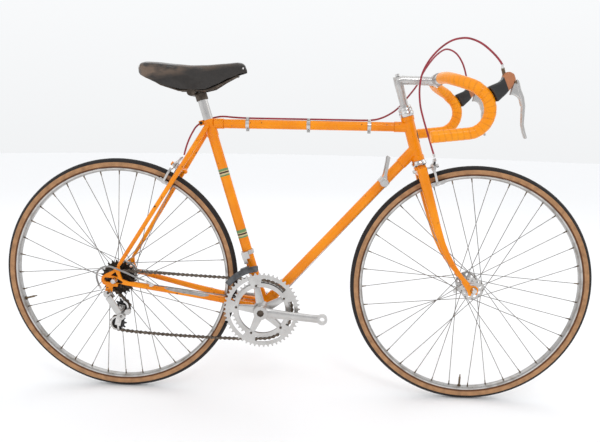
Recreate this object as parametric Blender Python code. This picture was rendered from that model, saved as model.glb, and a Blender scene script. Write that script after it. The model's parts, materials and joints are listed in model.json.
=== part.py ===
"""A steel road bicycle with a lugged frame, drop bars, two chainrings and a five-speed freewheel.

Units are metres and degrees. +X points forward, +Y to the rider's left and +Z up. The origin is on the
ground, midway between the two hubs, in the bicycle's middle plane. The drive side is the -Y side.
"""

import math

import bmesh
import bpy
from mathutils import Matrix, Vector

# ---- General ----
GAP = 0.0003                     # clearance kept between neighbouring pieces
SIDES = 14                       # sides of a round tube

# ---- Wheels ----
WHEELBASE = 0.9876
WHEEL_RADIUS = 0.334
WHEEL_SEGMENTS = 44
RIM_INNER_RADIUS = 0.2995
RIM_OUTER_RADIUS = 0.3080
RIM_WIDTH = 0.020
TYRE_WIDTH = 0.0268
SPOKES_PER_SIDE = 18
SPOKE_RADIUS = 0.0011
SPOKE_CROSSING_ANGLE = 60.0
SPOKE_OFFSET = 0.0004            # between the spokes that lean one way and those that lean the other
FLANGE_RADIUS = 0.032
FLANGE_THICKNESS = 0.0035
REAR_NIPPLE_ANGLE = 0.0          # angle of one right-hand nipple
FRONT_NIPPLE_ANGLE = 32.5
REAR_FLANGES = (-0.0215, 0.0345)
FRONT_FLANGES = (-0.0350, 0.0350)
REAR_LEFT_TURN = 10.0            # from a right-hand nipple to a left-hand one
FRONT_LEFT_TURN = -30.0
FREEWHEEL_SEAT_RADIUS = 0.0165
FREEWHEEL_SEAT_END = -0.0345
HUB_END = 0.0065                 # from the dropout's inner face to the end of the hub shell
AXLE_RADIUS = 0.005
QR_LENGTH = 0.052                # from a quick-release lever's pivot to its tip
REAR_QR_ANGLE = 180.0            # where each closed lever points
FRONT_QR_ANGLE = 240.0
REAR_HUB_WIDTH = 0.120
FRONT_HUB_WIDTH = 0.100
DROPOUT_THICKNESS = 0.006
FORK_END_THICKNESS = 0.005

# ---- Frame ----
CHAIN_STAY_LENGTH = 0.416
BOTTOM_BRACKET_DROP = 0.0775
SEAT_ANGLE = 73.4
HEAD_ANGLE = 73.0
SEAT_TUBE_LENGTH = 0.544
TOP_TUBE_DROP = 0.0102           # from the top of the seat tube down to the top tube's axis
DOWN_TUBE_RISE = 0.0315          # from the foot of the head tube up to the down tube's axis
HEAD_TUBE_LENGTH = 0.121
HEADSET_LOWER_STACK = 0.016
HEADSET_UPPER_STACK = 0.030
SEAT_TUBE_DIAMETER = 0.0286
DOWN_TUBE_DIAMETER = 0.0286
TOP_TUBE_DIAMETER = 0.0254
HEAD_TUBE_DIAMETER = 0.0318
STEERER_DIAMETER = 0.0254
LUG_WALL = 0.0016
SHELL_DIAMETER = 0.041
SHELL_WIDTH = 0.068
CHAIN_STAY_RADIUS = 0.0092
CHAIN_STAY_END_RADIUS = 0.0072
CHAIN_STAY_SPREAD = 0.0272       # half the distance between the stays' axes at the shell
SEAT_STAY_RADIUS = 0.0070
SEAT_STAY_END_RADIUS = 0.0055
HANGER_OFFSET = (-0.0172, -0.0360)
HEAD_LUG_REACH = 0.042           # from the steering axis to the end of the upper head lug
DOWN_LUG_REACH = 0.056
SEAT_LUG_REACH = 0.040
SHELL_LUG_REACH = 0.046          # from the bottom bracket's centre to the end of its sockets

# ---- Fork ----
FORK_LENGTH = 0.3614             # from the axle to the crown race, along the steering axis
FORK_RAKE = 0.0517
BLADE_SPREAD_TOP = 0.0320
BLADE_DEPTH_TOP = 0.0140
BLADE_WIDTH_TOP = 0.0100
BLADE_RADIUS_END = 0.0062
BEND_START = 0.170
BEND_POWER = 2.3

# ---- Bars, stem and levers ----
STEM_RISE = 0.2375               # crown race to the stem's corner, along the steering axis
STEM_REACH = 0.1052              # corner to the bar clamp's centre
STEM_CLIMB = 0.0012
STEM_BAR_OFFSET = 0.0045         # from the bar's centre down to the extension's axis
QUILL_DIAMETER = 0.022
BAR_WIDTH = 0.394
BAR_DIAMETER = 0.0240
TAPE_THICKNESS = 0.0025
TAPE_START = 0.062               # from the middle plane to where the tape begins
HOOK_DEPTH = 0.0515              # half the hook's size from back to front
HOOK_HEIGHT = 0.0539             # half its size from top to bottom
HOOK_FORWARD = 0.0435            # from the clamp's centre to the hook's centre
HOOK_DOWN = 0.0831
RAMP_ANGLE = 58.0                # where the ramp meets the hook, about the hook's centre
HOOK_END_ANGLE = -83.2
BAR_BEND = ((0.0068, 0.095, -0.0018), (0.0195, 0.056, -0.0087), (0.0387, 0.027, -0.0175), (0.0585, 0.009, -0.0270))
DROP_LENGTH = 0.090
LEVER_PIVOT = (0.1455, -0.0175)  # forward and up from the bar clamp's centre
HOOD_WIDTH = 0.027
LEVER_WIDTH = 0.015

# ---- Saddle ----
SEATPOST_DIAMETER = 0.0268
SEATPOST_RISE = 0.072            # above the top of the seat tube
SEATPOST_INSERT = 0.120
SADDLE_LENGTH = 0.288
SADDLE_WIDTH = 0.142
SADDLE_NOSE_WIDTH = 0.040
SADDLE_TOP = 0.928               # height of the rear of the saddle
SADDLE_REAR = -0.424
SADDLE_SHELL = 0.005

# ---- Transmission ----
PITCH = 0.0127
CHAIN_HALF_HEIGHT = 0.0042
CHAIN_HALF_WIDTH = 0.0037
OUTER_TEETH = 52
INNER_TEETH = 42
COG_TEETH = (13, 15, 17, 20, 24)
COG_SPACING = 0.0055
SMALLEST_COG_SIDE = -0.0520
JOCKEY_TEETH = 10
CHAIN_SEAT_GAP = 0.0010          # from the chain's inner edge to a wheel that it runs on
INNER_RING_SIDE = -0.0412
OUTER_RING_SIDE = -0.0482
RING_THICKNESS = 0.0025
RING_INNER_RADIUS = 0.0665
BOLT_CIRCLE_RADIUS = 0.072
BOLT_ANGLE = 30.3
CRANK_LENGTH = 0.170
CRANK_ANGLE = -3.9
CRANK_SIDE = 0.0620              # where the crank arms' inner faces begin
CRANK_FLARE = 0.0080
CRANK_AXLE_RADIUS = 0.0080
GUIDE_PULLEY = (-0.4778, 0.2560)
TENSION_PULLEY = (-0.4904, 0.2088)
CHAIN_SAG = 0.0070               # how far the lower run hangs below a straight line
CAGE_PIVOT = (-0.4750, 0.2335)
CAGE_OUTER_FACE = -0.0612        # outer face of the rear cage, where the lower knuckle begins
CAGE_PLATE = 0.0015
CAGE_HALF_WIDTH = 0.0078         # from the pulleys' middle to the outer faces of the cage plates
LINK_WIDTH = 0.0185
FRONT_DERAILLEUR_RISE = 0.162    # from the bottom bracket up the seat tube
OUTER_CAGE_SIDE = -0.0505
INNER_CAGE_SIDE = -0.0355
CAGE_INSIDE = 0.1110             # radii of the front cage's plates, about the bottom bracket
CAGE_OUTSIDE = 0.1280

# ---- Brakes ----
FRONT_BRAKE_FORWARD = 0.0283     # from the steering axis to the first brake arm
FRONT_BRAKE_DROP = 0.0120
FRONT_PAD_DROP = 0.0460          # from the brake's pivot to its pads
REAR_BRAKE_BACK = 0.0137          # from the brake bridge to the first brake arm
REAR_PAD_DROP = 0.0518
PAD_GAP = 0.0020                 # between a pad and the rim
ARM_THICKNESS = 0.0060
BRAKE_BOLT_RADIUS = 0.0030

# ---- Shifters ----
SHIFTER_DISTANCE = 0.489         # from the bottom bracket up the down tube
HOUSING_DIAMETER = 0.0050

BLACK = (0.02, 0.02, 0.022, 1)
ALLOY = (0.62, 0.62, 0.62, 1)
CHROME = (0.75, 0.75, 0.76, 1)
ORANGE = (0.85, 0.28, 0.02, 1)
FINISHES = {
    "orange_enamel": (ORANGE, 0.25, 0.0),
    "polished_alloy": (ALLOY, 0.30, 1.0),
    "bright_chrome": (CHROME, 0.12, 1.0),
    "dark_steel": ((0.10, 0.09, 0.08, 1), 0.45, 1.0),
    "black_rubber": (BLACK, 0.80, 0.0),
    "black_plastic": (BLACK, 0.45, 0.0),
    "black_leather": ((0.025, 0.022, 0.02, 1), 0.55, 0.0),
    "orange_tape": ((0.85, 0.27, 0.02, 1), 0.35, 0.0),
    "gum_rubber": ((0.30, 0.15, 0.07, 1), 0.65, 0.0),
    "red_housing": ((0.22, 0.03, 0.05, 1), 0.40, 0.0),
    "grey_housing": ((0.30, 0.29, 0.28, 1), 0.45, 0.0),
}

UP = Vector((0, 0, 1))
LEFT = Vector((0, 1, 0))
RIGHT = Vector((0, -1, 0))


def polar(angle, radius=1.0):
    """A vector in the X-Z plane, at an angle in degrees from +X towards +Z."""
    return Vector((radius * math.cos(math.radians(angle)), 0, radius * math.sin(math.radians(angle))))


SEAT_UP = polar(180 - SEAT_ANGLE)
HEAD_UP = polar(180 - HEAD_ANGLE)
HEAD_FORWARD = polar(90 - HEAD_ANGLE)
REAR_HUB = Vector((-WHEELBASE / 2, 0, WHEEL_RADIUS))
FRONT_HUB = Vector((WHEELBASE / 2, 0, WHEEL_RADIUS))
BOTTOM_BRACKET = REAR_HUB + Vector((math.sqrt(CHAIN_STAY_LENGTH**2 - BOTTOM_BRACKET_DROP**2), 0, -BOTTOM_BRACKET_DROP))
CROWN_RACE = FRONT_HUB - HEAD_FORWARD * FORK_RAKE + HEAD_UP * FORK_LENGTH
SEAT_TOP = BOTTOM_BRACKET + SEAT_UP * SEAT_TUBE_LENGTH


def steer(up, forward=0.0, side=0.0):
    """A point given from the crown race, along the steering axis, ahead of it and to the left."""
    return CROWN_RACE + HEAD_UP * up + HEAD_FORWARD * forward + LEFT * side


HEAD_FOOT = steer(HEADSET_LOWER_STACK)
HEAD_TOP = steer(HEADSET_LOWER_STACK + HEAD_TUBE_LENGTH)
DOWN_TUBE_END = steer(HEADSET_LOWER_STACK + DOWN_TUBE_RISE)
DOWN_UP = (DOWN_TUBE_END - BOTTOM_BRACKET).normalized()
DOWN_NORMAL = Vector((-DOWN_UP.z, 0, DOWN_UP.x))
TOP_TUBE_REAR = SEAT_TOP - SEAT_UP * TOP_TUBE_DROP
TOP_TUBE_FRONT = HEAD_FOOT + HEAD_UP * ((TOP_TUBE_REAR.z - HEAD_FOOT.z) / HEAD_UP.z)
SHIFTER_BOSS = BOTTOM_BRACKET + DOWN_UP * SHIFTER_DISTANCE
STEM_CORNER = steer(STEM_RISE)
BAR_CLAMP = STEM_CORNER + Vector((STEM_REACH, 0, STEM_CLIMB))
TAPE_RADIUS = BAR_DIAMETER / 2 + TAPE_THICKNESS
STEERER_TOP = HEADSET_LOWER_STACK + HEAD_TUBE_LENGTH + HEADSET_UPPER_STACK - 0.002


# ---- Shapes ----


def add_object(name, mesh):
    shape = bpy.data.objects.new(name, mesh)
    bpy.context.scene.collection.objects.link(shape)
    return shape


def from_bmesh(name, bm):
    bmesh.ops.recalc_face_normals(bm, faces=bm.faces)
    mesh = bpy.data.meshes.new(name)
    bm.to_mesh(mesh)
    bm.free()
    return add_object(name, mesh)


def rotation_to(direction):
    """The turn that takes +Z to a direction."""
    return UP.rotation_difference(direction.normalized()).to_matrix().to_4x4()


def cylinder(name, start, end, radius, end_radius=None, sides=SIDES):
    bm = bmesh.new()
    along = end - start
    place = Matrix.Translation((start + end) / 2) @ rotation_to(along)
    bmesh.ops.create_cone(bm, cap_ends=True, segments=sides, radius1=radius,
                          radius2=radius if end_radius is None else end_radius, depth=along.length, matrix=place)
    return from_bmesh(name, bm)


def revolve(name, centre, axis, profile, segments, turn=0.0):
    """A closed profile of (along, radius) points spun about an axis through a centre."""
    bm = bmesh.new()
    place = Matrix.Translation(centre) @ rotation_to(axis) @ Matrix.Rotation(math.radians(turn), 4, "Z")
    points = [bm.verts.new((radius, 0, along)) for along, radius in profile]
    edges = [bm.edges.new((points[i], points[(i + 1) % len(points)])) for i in range(len(points))]
    bmesh.ops.spin(bm, geom=points + edges, cent=(0, 0, 0), axis=(0, 0, 1), angle=2 * math.pi,
                   steps=segments, use_merge=True)
    bmesh.ops.remove_doubles(bm, verts=bm.verts, dist=1e-6)
    bmesh.ops.transform(bm, matrix=place, verts=bm.verts)
    return from_bmesh(name, bm)


def prism(name, outline, depth, thickness_axis, centre=Vector()):
    """A flat outline of points, thickened both ways along an axis to a total depth, about a centre."""
    bm = bmesh.new()
    low = [bm.verts.new(point + centre - thickness_axis * depth / 2) for point in outline]
    face = bm.faces.new(low)
    moved = bmesh.ops.extrude_face_region(bm, geom=[face])["geom"]
    bmesh.ops.translate(bm, vec=thickness_axis * depth, verts=[v for v in moved if isinstance(v, bmesh.types.BMVert)])
    return from_bmesh(name, bm)


def side_plate(name, outline, side_low, side_high, centre=Vector()):
    """An outline of (forward, up) points from a centre, as a plate between two distances to the left."""
    points = [Vector((x, 0, z)) for x, z in outline]
    middle = centre + LEFT * ((side_low + side_high) / 2 - centre.y)
    return prism(name, points, side_high - side_low, LEFT, middle)


def block(name, centre, forward, side, up, size):
    """A box of a size (forward, side, up), in a frame of three directions."""
    bm = bmesh.new()
    turn = Matrix((forward, side, up)).transposed().to_4x4()
    bmesh.ops.create_cube(bm, size=1.0, matrix=Matrix.Translation(centre) @ turn @ Matrix.Diagonal((*size, 1)))
    return from_bmesh(name, bm)


def loft(name, stations, closed=False, sides=SIDES):
    """A tube through stations, each a centre and two half-axis vectors of its oval."""
    bm = bmesh.new()
    rings = []
    for centre, first, second in stations:
        turns = [2 * math.pi * (i + 0.5) / sides for i in range(sides)]
        rings.append([bm.verts.new(centre + first * math.cos(t) + second * math.sin(t)) for t in turns])
    pairs = list(zip(rings, rings[1:])) + ([(rings[-1], rings[0])] if closed else [])
    for one, other in pairs:
        for i in range(sides):
            j = (i + 1) % sides
            bm.faces.new((one[i], one[j], other[j], other[i]))
    if not closed:
        bm.faces.new(rings[0])
        bm.faces.new(rings[-1])
    return from_bmesh(name, bm)


def tube(name, points, radii, sides=12):
    """A round bar through points in one plane, with a radius at each."""
    stations = []
    for i, point in enumerate(points):
        along = (points[min(i + 1, len(points) - 1)] - points[max(i - 1, 0)]).normalized()
        across = along.cross(LEFT)
        if across.length < 0.1:
            across = along.cross(UP)
        across.normalize()
        stations.append((point, across * radii[i], along.cross(across).normalized() * radii[i]))
    return loft(name, stations, sides=sides)


def smooth_path(points, step):
    """Points at about an even step along a smooth curve through the given points."""
    ends = [points[0] * 2 - points[1]] + list(points) + [points[-1] * 2 - points[-2]]
    fine = []
    for a, b, c, d in zip(ends, ends[1:], ends[2:], ends[3:]):
        for i in range(24):
            t = i / 24
            fine.append(0.5 * (2 * b + (c - a) * t + (2 * a - 5 * b + 4 * c - d) * t**2
                               + (3 * b - a - 3 * c + d) * t**3))
    fine.append(points[-1].copy())
    lengths = [0.0]
    for a, b in zip(fine, fine[1:]):
        lengths.append(lengths[-1] + (b - a).length)
    count = max(2, round(lengths[-1] / step))
    path, k = [], 0
    for i in range(count + 1):
        wanted = lengths[-1] * i / count
        while k < len(fine) - 2 and lengths[k + 1] < wanted:
            k += 1
        span = lengths[k + 1] - lengths[k]
        path.append(fine[k].lerp(fine[k + 1], (wanted - lengths[k]) / span if span else 0.0))
    return path


def cord(name, points, diameter, step=2.6, resolution=2):
    """A housing through its own points, as a curve with a round section and filled ends."""
    curve = bpy.data.curves.new(name, "CURVE")
    curve.dimensions = "3D"
    curve.bevel_depth = diameter / 2
    curve.bevel_resolution = resolution
    curve.use_fill_caps = True
    path = smooth_path([Vector(p) for p in points], step * diameter)
    spline = curve.splines.new("POLY")
    spline.points.add(len(path) - 1)
    for place, point in zip(spline.points, path):
        place.co = (*point, 1)
    return add_object(name, curve)


def evaluated_copy(shape):
    graph = bpy.context.evaluated_depsgraph_get()
    return bpy.data.meshes.new_from_object(shape.evaluated_get(graph))


def combine(base, others, operation):
    """Joins others to a base, or cuts them from it, and deletes them."""
    for other in others:
        modifier = base.modifiers.new(operation, "BOOLEAN")
        modifier.operation = operation
        modifier.object = other
    base_mesh = evaluated_copy(base)
    base.modifiers.clear()
    base.data = base_mesh
    for other in others:
        bpy.data.objects.remove(other)
    return base


def join(base, *others):
    return combine(base, others, "UNION")


def cut(base, *others):
    return combine(base, others, "DIFFERENCE")


def soften(shape, width, segments=1):
    """Rounds a shape's sharp edges."""
    modifier = shape.modifiers.new("rounded_edges", "BEVEL")
    modifier.width = width
    modifier.segments = segments
    modifier.limit_method = "ANGLE"
    modifier.angle_limit = math.radians(50)
    shape.data = evaluated_copy(shape)
    shape.modifiers.clear()
    return shape


def finish(name, shape, slot, pivot=None):
    """Names a finished piece, gives it its finish, and puts its origin on its joint."""
    shape.name = name
    colour, roughness, metallic = FINISHES[slot]
    material = bpy.data.materials.new(name)
    material.use_nodes = True
    shader = material.node_tree.nodes["Principled BSDF"]
    shader.inputs["Base Color"].default_value = colour
    shader.inputs["Roughness"].default_value = roughness
    shader.inputs["Metallic"].default_value = metallic
    material.diffuse_color = colour
    shape.data.materials.clear()
    shape.data.materials.append(material)
    if shape.type == "MESH":
        shape.data.shade_smooth()
        shape.data.set_sharp_from_angle(angle=math.radians(35))
    if pivot is not None:
        shape.data.transform(Matrix.Translation(-pivot))
        shape.location = pivot
    return shape


def pitch_radius(teeth):
    return PITCH / (2 * math.sin(math.pi / teeth))


# ---- Frame ----


def make_head_tube():
    radius = HEAD_TUBE_DIAMETER / 2
    collar = radius + LUG_WALL + 0.0005
    length = HEAD_TUBE_LENGTH
    profile = [(0, 0.003), (0, collar), (0.011, collar), (0.013, radius), (length - 0.013, radius),
               (length - 0.011, collar), (length, collar), (length, 0.003)]
    shape = revolve("head_tube", HEAD_FOOT, HEAD_UP, profile, 18)
    upper = cylinder("upper_lug", TOP_TUBE_FRONT, TOP_TUBE_FRONT + Vector((-HEAD_LUG_REACH, 0, 0)),
                     TOP_TUBE_DIAMETER / 2 + LUG_WALL)
    lower = cylinder("lower_lug", DOWN_TUBE_END, DOWN_TUBE_END - DOWN_UP * DOWN_LUG_REACH,
                     DOWN_TUBE_DIAMETER / 2 + LUG_WALL)
    join(shape, upper, lower)
    bore = cylinder("bore", HEAD_FOOT - HEAD_UP * 0.01, HEAD_TOP + HEAD_UP * 0.01, radius - 0.0012)
    cut(shape, bore)
    finish("head_tube", shape, "orange_enamel")


def make_main_tubes():
    rear = TOP_TUBE_REAR + Vector((SEAT_LUG_REACH + GAP, 0, 0))
    front = TOP_TUBE_FRONT - Vector((HEAD_LUG_REACH + GAP, 0, 0))
    finish("top_tube", cylinder("top_tube", rear, front, TOP_TUBE_DIAMETER / 2), "orange_enamel")
    low = BOTTOM_BRACKET + DOWN_UP * (SHELL_LUG_REACH + GAP)
    high = DOWN_TUBE_END - DOWN_UP * (DOWN_LUG_REACH + GAP)
    finish("down_tube", cylinder("down_tube", low, high, DOWN_TUBE_DIAMETER / 2), "orange_enamel")


def make_seat_tube():
    radius = SEAT_TUBE_DIAMETER / 2
    lug = radius + LUG_WALL + 0.0002
    bore = SEATPOST_DIAMETER / 2 + GAP
    foot = BOTTOM_BRACKET + SEAT_UP * (SHELL_LUG_REACH + GAP)
    length = (SEAT_TOP - foot).length
    depth = length - SEATPOST_INSERT - 0.070
    profile = [(0, 0.0), (0, radius), (length - 0.048, radius), (length - 0.046, lug), (length, lug),
               (length, bore), (depth, bore), (depth, 0.0)]
    shape = revolve("seat_tube", foot, SEAT_UP, profile, 18)
    stub = cylinder("stub", TOP_TUBE_REAR + Vector((bore + 0.0006, 0, 0)),
                    TOP_TUBE_REAR + Vector((SEAT_LUG_REACH, 0, 0)), TOP_TUBE_DIAMETER / 2 + LUG_WALL)
    back = Vector((-SEAT_UP.z, 0, SEAT_UP.x))
    ears = block("ears", SEAT_TOP - SEAT_UP * 0.0035 + back * (lug + 0.0040), back, LEFT, SEAT_UP,
                 (0.012, 0.015, 0.013))
    join(shape, stub, ears)
    core = cylinder("core", SEAT_TOP - SEAT_UP * 0.060, SEAT_TOP + SEAT_UP * 0.01, bore, sides=24)
    slot = block("slot", SEAT_TOP - SEAT_UP * 0.012 + back * (lug + 0.004), back, LEFT, SEAT_UP,
                 (0.024, 0.0022, 0.040))
    cut(shape, core, slot)
    finish("seat_tube", shape, "orange_enamel")


def chain_stay_axis(side):
    """Points along a chain stay's axis, from inside the bottom bracket shell to its dropout."""
    end = REAR_HUB + Vector((0.0500, side * (REAR_HUB_WIDTH / 2 + 0.0015), -0.0105))
    start = Vector((BOTTOM_BRACKET.x - 0.012, side * CHAIN_STAY_SPREAD, BOTTOM_BRACKET.z + 0.002))
    points = []
    for share in (0.0, 0.10, 0.135, 0.24, 0.34, 0.46, 0.60, 0.75, 0.90, 1.0):
        flare = max(0.0, share - 0.26) / 0.74
        eased = flare**1.35
        point = start.lerp(end, share)
        point.y = start.y + (end.y - start.y) * eased
        points.append(point)
    return points


def stay_split(points, distance):
    """The part of a stay's axis beyond a distance from the bottom bracket."""
    for i, point in enumerate(points):
        reach = Vector((point.x - BOTTOM_BRACKET.x, 0, point.z - BOTTOM_BRACKET.z)).length
        if reach > distance:
            before = points[i - 1]
            near = Vector((before.x - BOTTOM_BRACKET.x, 0, before.z - BOTTOM_BRACKET.z)).length
            return before.lerp(point, (distance - near) / (reach - near)), points[i:]
    return points[-1], []


def make_bottom_bracket_shell():
    half = SHELL_WIDTH / 2
    radius = SHELL_DIAMETER / 2
    profile = [(-half - 0.0035, 0.003), (-half - 0.0035, 0.0175), (-half, 0.0175), (-half, radius),
               (half, radius), (half, 0.0175), (half + 0.0035, 0.0175), (half + 0.0035, 0.003)]
    shape = revolve("shell", BOTTOM_BRACKET, LEFT, profile, 20)
    seat = cylinder("seat_socket", BOTTOM_BRACKET, BOTTOM_BRACKET + SEAT_UP * SHELL_LUG_REACH,
                    SEAT_TUBE_DIAMETER / 2 + LUG_WALL)
    down = cylinder("down_socket", BOTTOM_BRACKET, BOTTOM_BRACKET + DOWN_UP * SHELL_LUG_REACH,
                    DOWN_TUBE_DIAMETER / 2 + LUG_WALL)
    sockets = [seat, down]
    for side in (-1, 1):
        points = chain_stay_axis(side)
        end, _ = stay_split(points, SHELL_LUG_REACH)
        sockets.append(cylinder("stay_socket", points[0], end, CHAIN_STAY_RADIUS + LUG_WALL, sides=16))
    join(shape, *sockets)
    cut(shape, cylinder("axle_bore", BOTTOM_BRACKET + RIGHT * 0.05, BOTTOM_BRACKET + LEFT * 0.05,
                        CRANK_AXLE_RADIUS + GAP, sides=16))
    finish("bottom_bracket_shell", shape, "orange_enamel")


def dropout_plate(side):
    """A rear dropout with its slot open to the front, a window under the seat stay, and a tang each way."""
    outline = [(0.0620, -0.0040), (0.0400, -0.0035), (0.0210, 0.0035), (0.0155, 0.0200), (0.0150, 0.0370),
               (0.0040, 0.0370), (-0.0050, 0.0270), (-0.0240, 0.0185), (-0.0350, 0.0110), (-0.0375, 0.0000),
               (-0.0330, -0.0105), (-0.0230, -0.0155), (-0.0080, -0.0175), (0.0080, -0.0175), (0.0080, -0.0100),
               (0.0150, -0.0085), (0.0300, -0.0125), (0.0600, -0.0165)]
    inner = side * REAR_HUB_WIDTH / 2
    outer = inner + side * DROPOUT_THICKNESS
    shape = side_plate("dropout", outline, min(inner, outer), max(inner, outer), REAR_HUB)
    window = side_plate("window", [(0.0040, 0.0250), (-0.0100, 0.0140), (0.0105, 0.0085)], -0.1, 0.1, REAR_HUB)
    slot = side_plate("slot", [(-0.0290, 0.0062), (-0.0290, -0.0008), (-0.0240, -0.0046), (0.0200, -0.0092),
                               (0.0240, -0.0040), (0.0100, 0.0054), (-0.0240, 0.0084)], -0.1, 0.1, REAR_HUB)
    if side < 0:
        x, z = HANGER_OFFSET
        hanger = side_plate("hanger", [(x - 0.006, z + 0.0235), (x - 0.0105, z + 0.004), (x - 0.008, z - 0.0075),
                                       (x + 0.004, z - 0.0100), (x + 0.010, z - 0.003), (x + 0.0125, z + 0.0200)],
                            outer, inner, REAR_HUB)
        join(shape, hanger)
        hole = cylinder("hole", REAR_HUB + Vector((x, -0.1, z)), REAR_HUB + Vector((x, 0.0, z)), 0.0048, sides=12)
        cut(shape, hole)
    cut(shape, window, slot)
    return shape


def make_chain_stay(name, side):
    start, rest = stay_split(chain_stay_axis(side), SHELL_LUG_REACH + GAP)
    points = [start] + rest
    count = len(points) - 1
    radii = [CHAIN_STAY_RADIUS + (CHAIN_STAY_END_RADIUS - CHAIN_STAY_RADIUS) * max(0.0, i / count - 0.4) / 0.6
             for i in range(count + 1)]
    stay = tube("stay", points, radii, sides=16)
    join(stay, dropout_plate(side))
    if side < 0:
        bridge_at = chain_stay_axis(side)[2]
        reach = 2 * CHAIN_STAY_SPREAD - CHAIN_STAY_RADIUS - GAP
        join(stay, cylinder("bridge", bridge_at, bridge_at + LEFT * (reach - 0.0004), 0.0050, sides=12))
    finish(name, stay, "orange_enamel")


SEAT_STAY_FOOT = REAR_HUB + Vector((0.0085, 0, 0.0335))
SEAT_STAY_HEAD = SEAT_TOP + Vector((0.0045, 0, -0.0110))
STAY_DOWN = (SEAT_STAY_FOOT - SEAT_STAY_HEAD).normalized()
STAY_BACK = Vector((STAY_DOWN.z, 0, -STAY_DOWN.x))
BRIDGE_SHARE = 0.318             # how far down the seat stays the brake bridge lies
BRIDGE = SEAT_STAY_HEAD.lerp(SEAT_STAY_FOOT, BRIDGE_SHARE)


def seat_stay_side(share):
    """Half the distance between the seat stays' axes, a share of the way down."""
    top = SEAT_TUBE_DIAMETER / 2 + LUG_WALL + 0.0002 + SEAT_STAY_RADIUS + 2 * GAP
    return top + (REAR_HUB_WIDTH / 2 + DROPOUT_THICKNESS / 2 - top) * share


def make_seat_stays():
    stays = []
    for side in (-1, 1):
        shares = (0.0, 0.03, 0.5, 0.95, 1.0)
        radii = (0.0030, SEAT_STAY_RADIUS, SEAT_STAY_RADIUS, SEAT_STAY_END_RADIUS, 0.0040)
        foot = REAR_HUB + Vector((0.0106, 0, 0.0392))
        points = [SEAT_STAY_HEAD.lerp(foot, s) + LEFT * side * seat_stay_side(s) for s in shares]
        stays.append(tube("stay", points, radii, sides=14))
    half = seat_stay_side(BRIDGE_SHARE)
    bridge = cylinder("bridge", BRIDGE + RIGHT * half, BRIDGE + LEFT * half, 0.0055, sides=14)
    end = BRIDGE + STAY_BACK * (REAR_BRAKE_BACK + 2 * ARM_THICKNESS + 0.004)
    bolt = cylinder("bolt", BRIDGE - STAY_BACK * 0.016, end, BRAKE_BOLT_RADIUS, sides=12)
    nut = cylinder("nut", end - STAY_BACK * 0.001, end + STAY_BACK * 0.005, 0.0060, sides=6)
    back_nut = cylinder("back_nut", BRIDGE - STAY_BACK * 0.015, BRIDGE - STAY_BACK * 0.009, 0.0055, sides=6)
    join(bridge, *stays, bolt, nut, back_nut)
    finish("seat_stays", bridge, "orange_enamel")


def make_headset():
    lower = [(GAP, STEERER_DIAMETER / 2 + GAP), (GAP, 0.0175), (0.004, 0.0205), (0.010, 0.0200), (0.0125, 0.0180),
             (HEADSET_LOWER_STACK - GAP, 0.0178), (HEADSET_LOWER_STACK - GAP, STEERER_DIAMETER / 2 + GAP)]
    finish("headset_lower", revolve("lower", CROWN_RACE, HEAD_UP, lower, 18), "bright_chrome")
    low, high = GAP, HEADSET_UPPER_STACK
    bore = STEERER_DIAMETER / 2 + GAP
    upper = [(low, bore), (low, 0.0175), (0.006, 0.0195), (0.011, 0.0200), (0.014, 0.0180), (0.016, 0.0185),
             (0.022, 0.0180), (0.0235, 0.0165), (high, 0.0160), (high, bore)]
    finish("headset_upper", revolve("upper", HEAD_TOP, HEAD_UP, upper, 18), "bright_chrome")


# ---- Saddle ----


def make_seatpost():
    radius = SEATPOST_DIAMETER / 2
    foot = SEAT_TOP - SEAT_UP * SEATPOST_INSERT
    head = SEAT_TOP + SEAT_UP * SEATPOST_RISE
    shape = cylinder("post", foot, head, radius, sides=24)
    finish("seatpost", shape, "polished_alloy", SEAT_TOP)


SADDLE_CLAMP = SEAT_TOP + SEAT_UP * 0.0820 - Vector((SEAT_UP.z, 0, -SEAT_UP.x)) * 0.0190


def saddle_top_height(share):
    """Height of the saddle's middle line, from its rear (0) to its nose (1)."""
    dip = 0.008 * math.sin(math.pi * min(1.0, share / 0.85)) ** 2
    nose = 0.024 * max(0.0, (share - 0.90) / 0.10) ** 2
    rear = 0.014 * max(0.0, (0.07 - share) / 0.07) ** 2
    return SADDLE_TOP - 0.001 * share - dip - nose - rear


def saddle_half_width(share):
    """Half the saddle's width, from its rear (0) to its nose (1)."""
    wide = SADDLE_WIDTH / 2
    narrow = SADDLE_NOSE_WIDTH / 2
    waist = 1 / (1 + math.exp(-(0.46 - share) / 0.085))
    rounded = math.sqrt(max(0.0, 1 - max(0.0, (0.12 - share) / 0.125) ** 2))
    nose = math.sqrt(max(0.0, 1 - max(0.0, (share - 0.93) / 0.078) ** 2))
    return (narrow + (wide - narrow) * waist) * (0.55 + 0.45 * rounded) * (0.45 + 0.55 * nose)


def saddle_skirt_depth(share):
    """How far the saddle's flank hangs below its middle line."""
    return 0.022 + 0.050 * math.exp(-((share - 0.57) / 0.20) ** 2) + 0.008 * math.exp(-((share - 0.15) / 0.15) ** 2)


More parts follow.
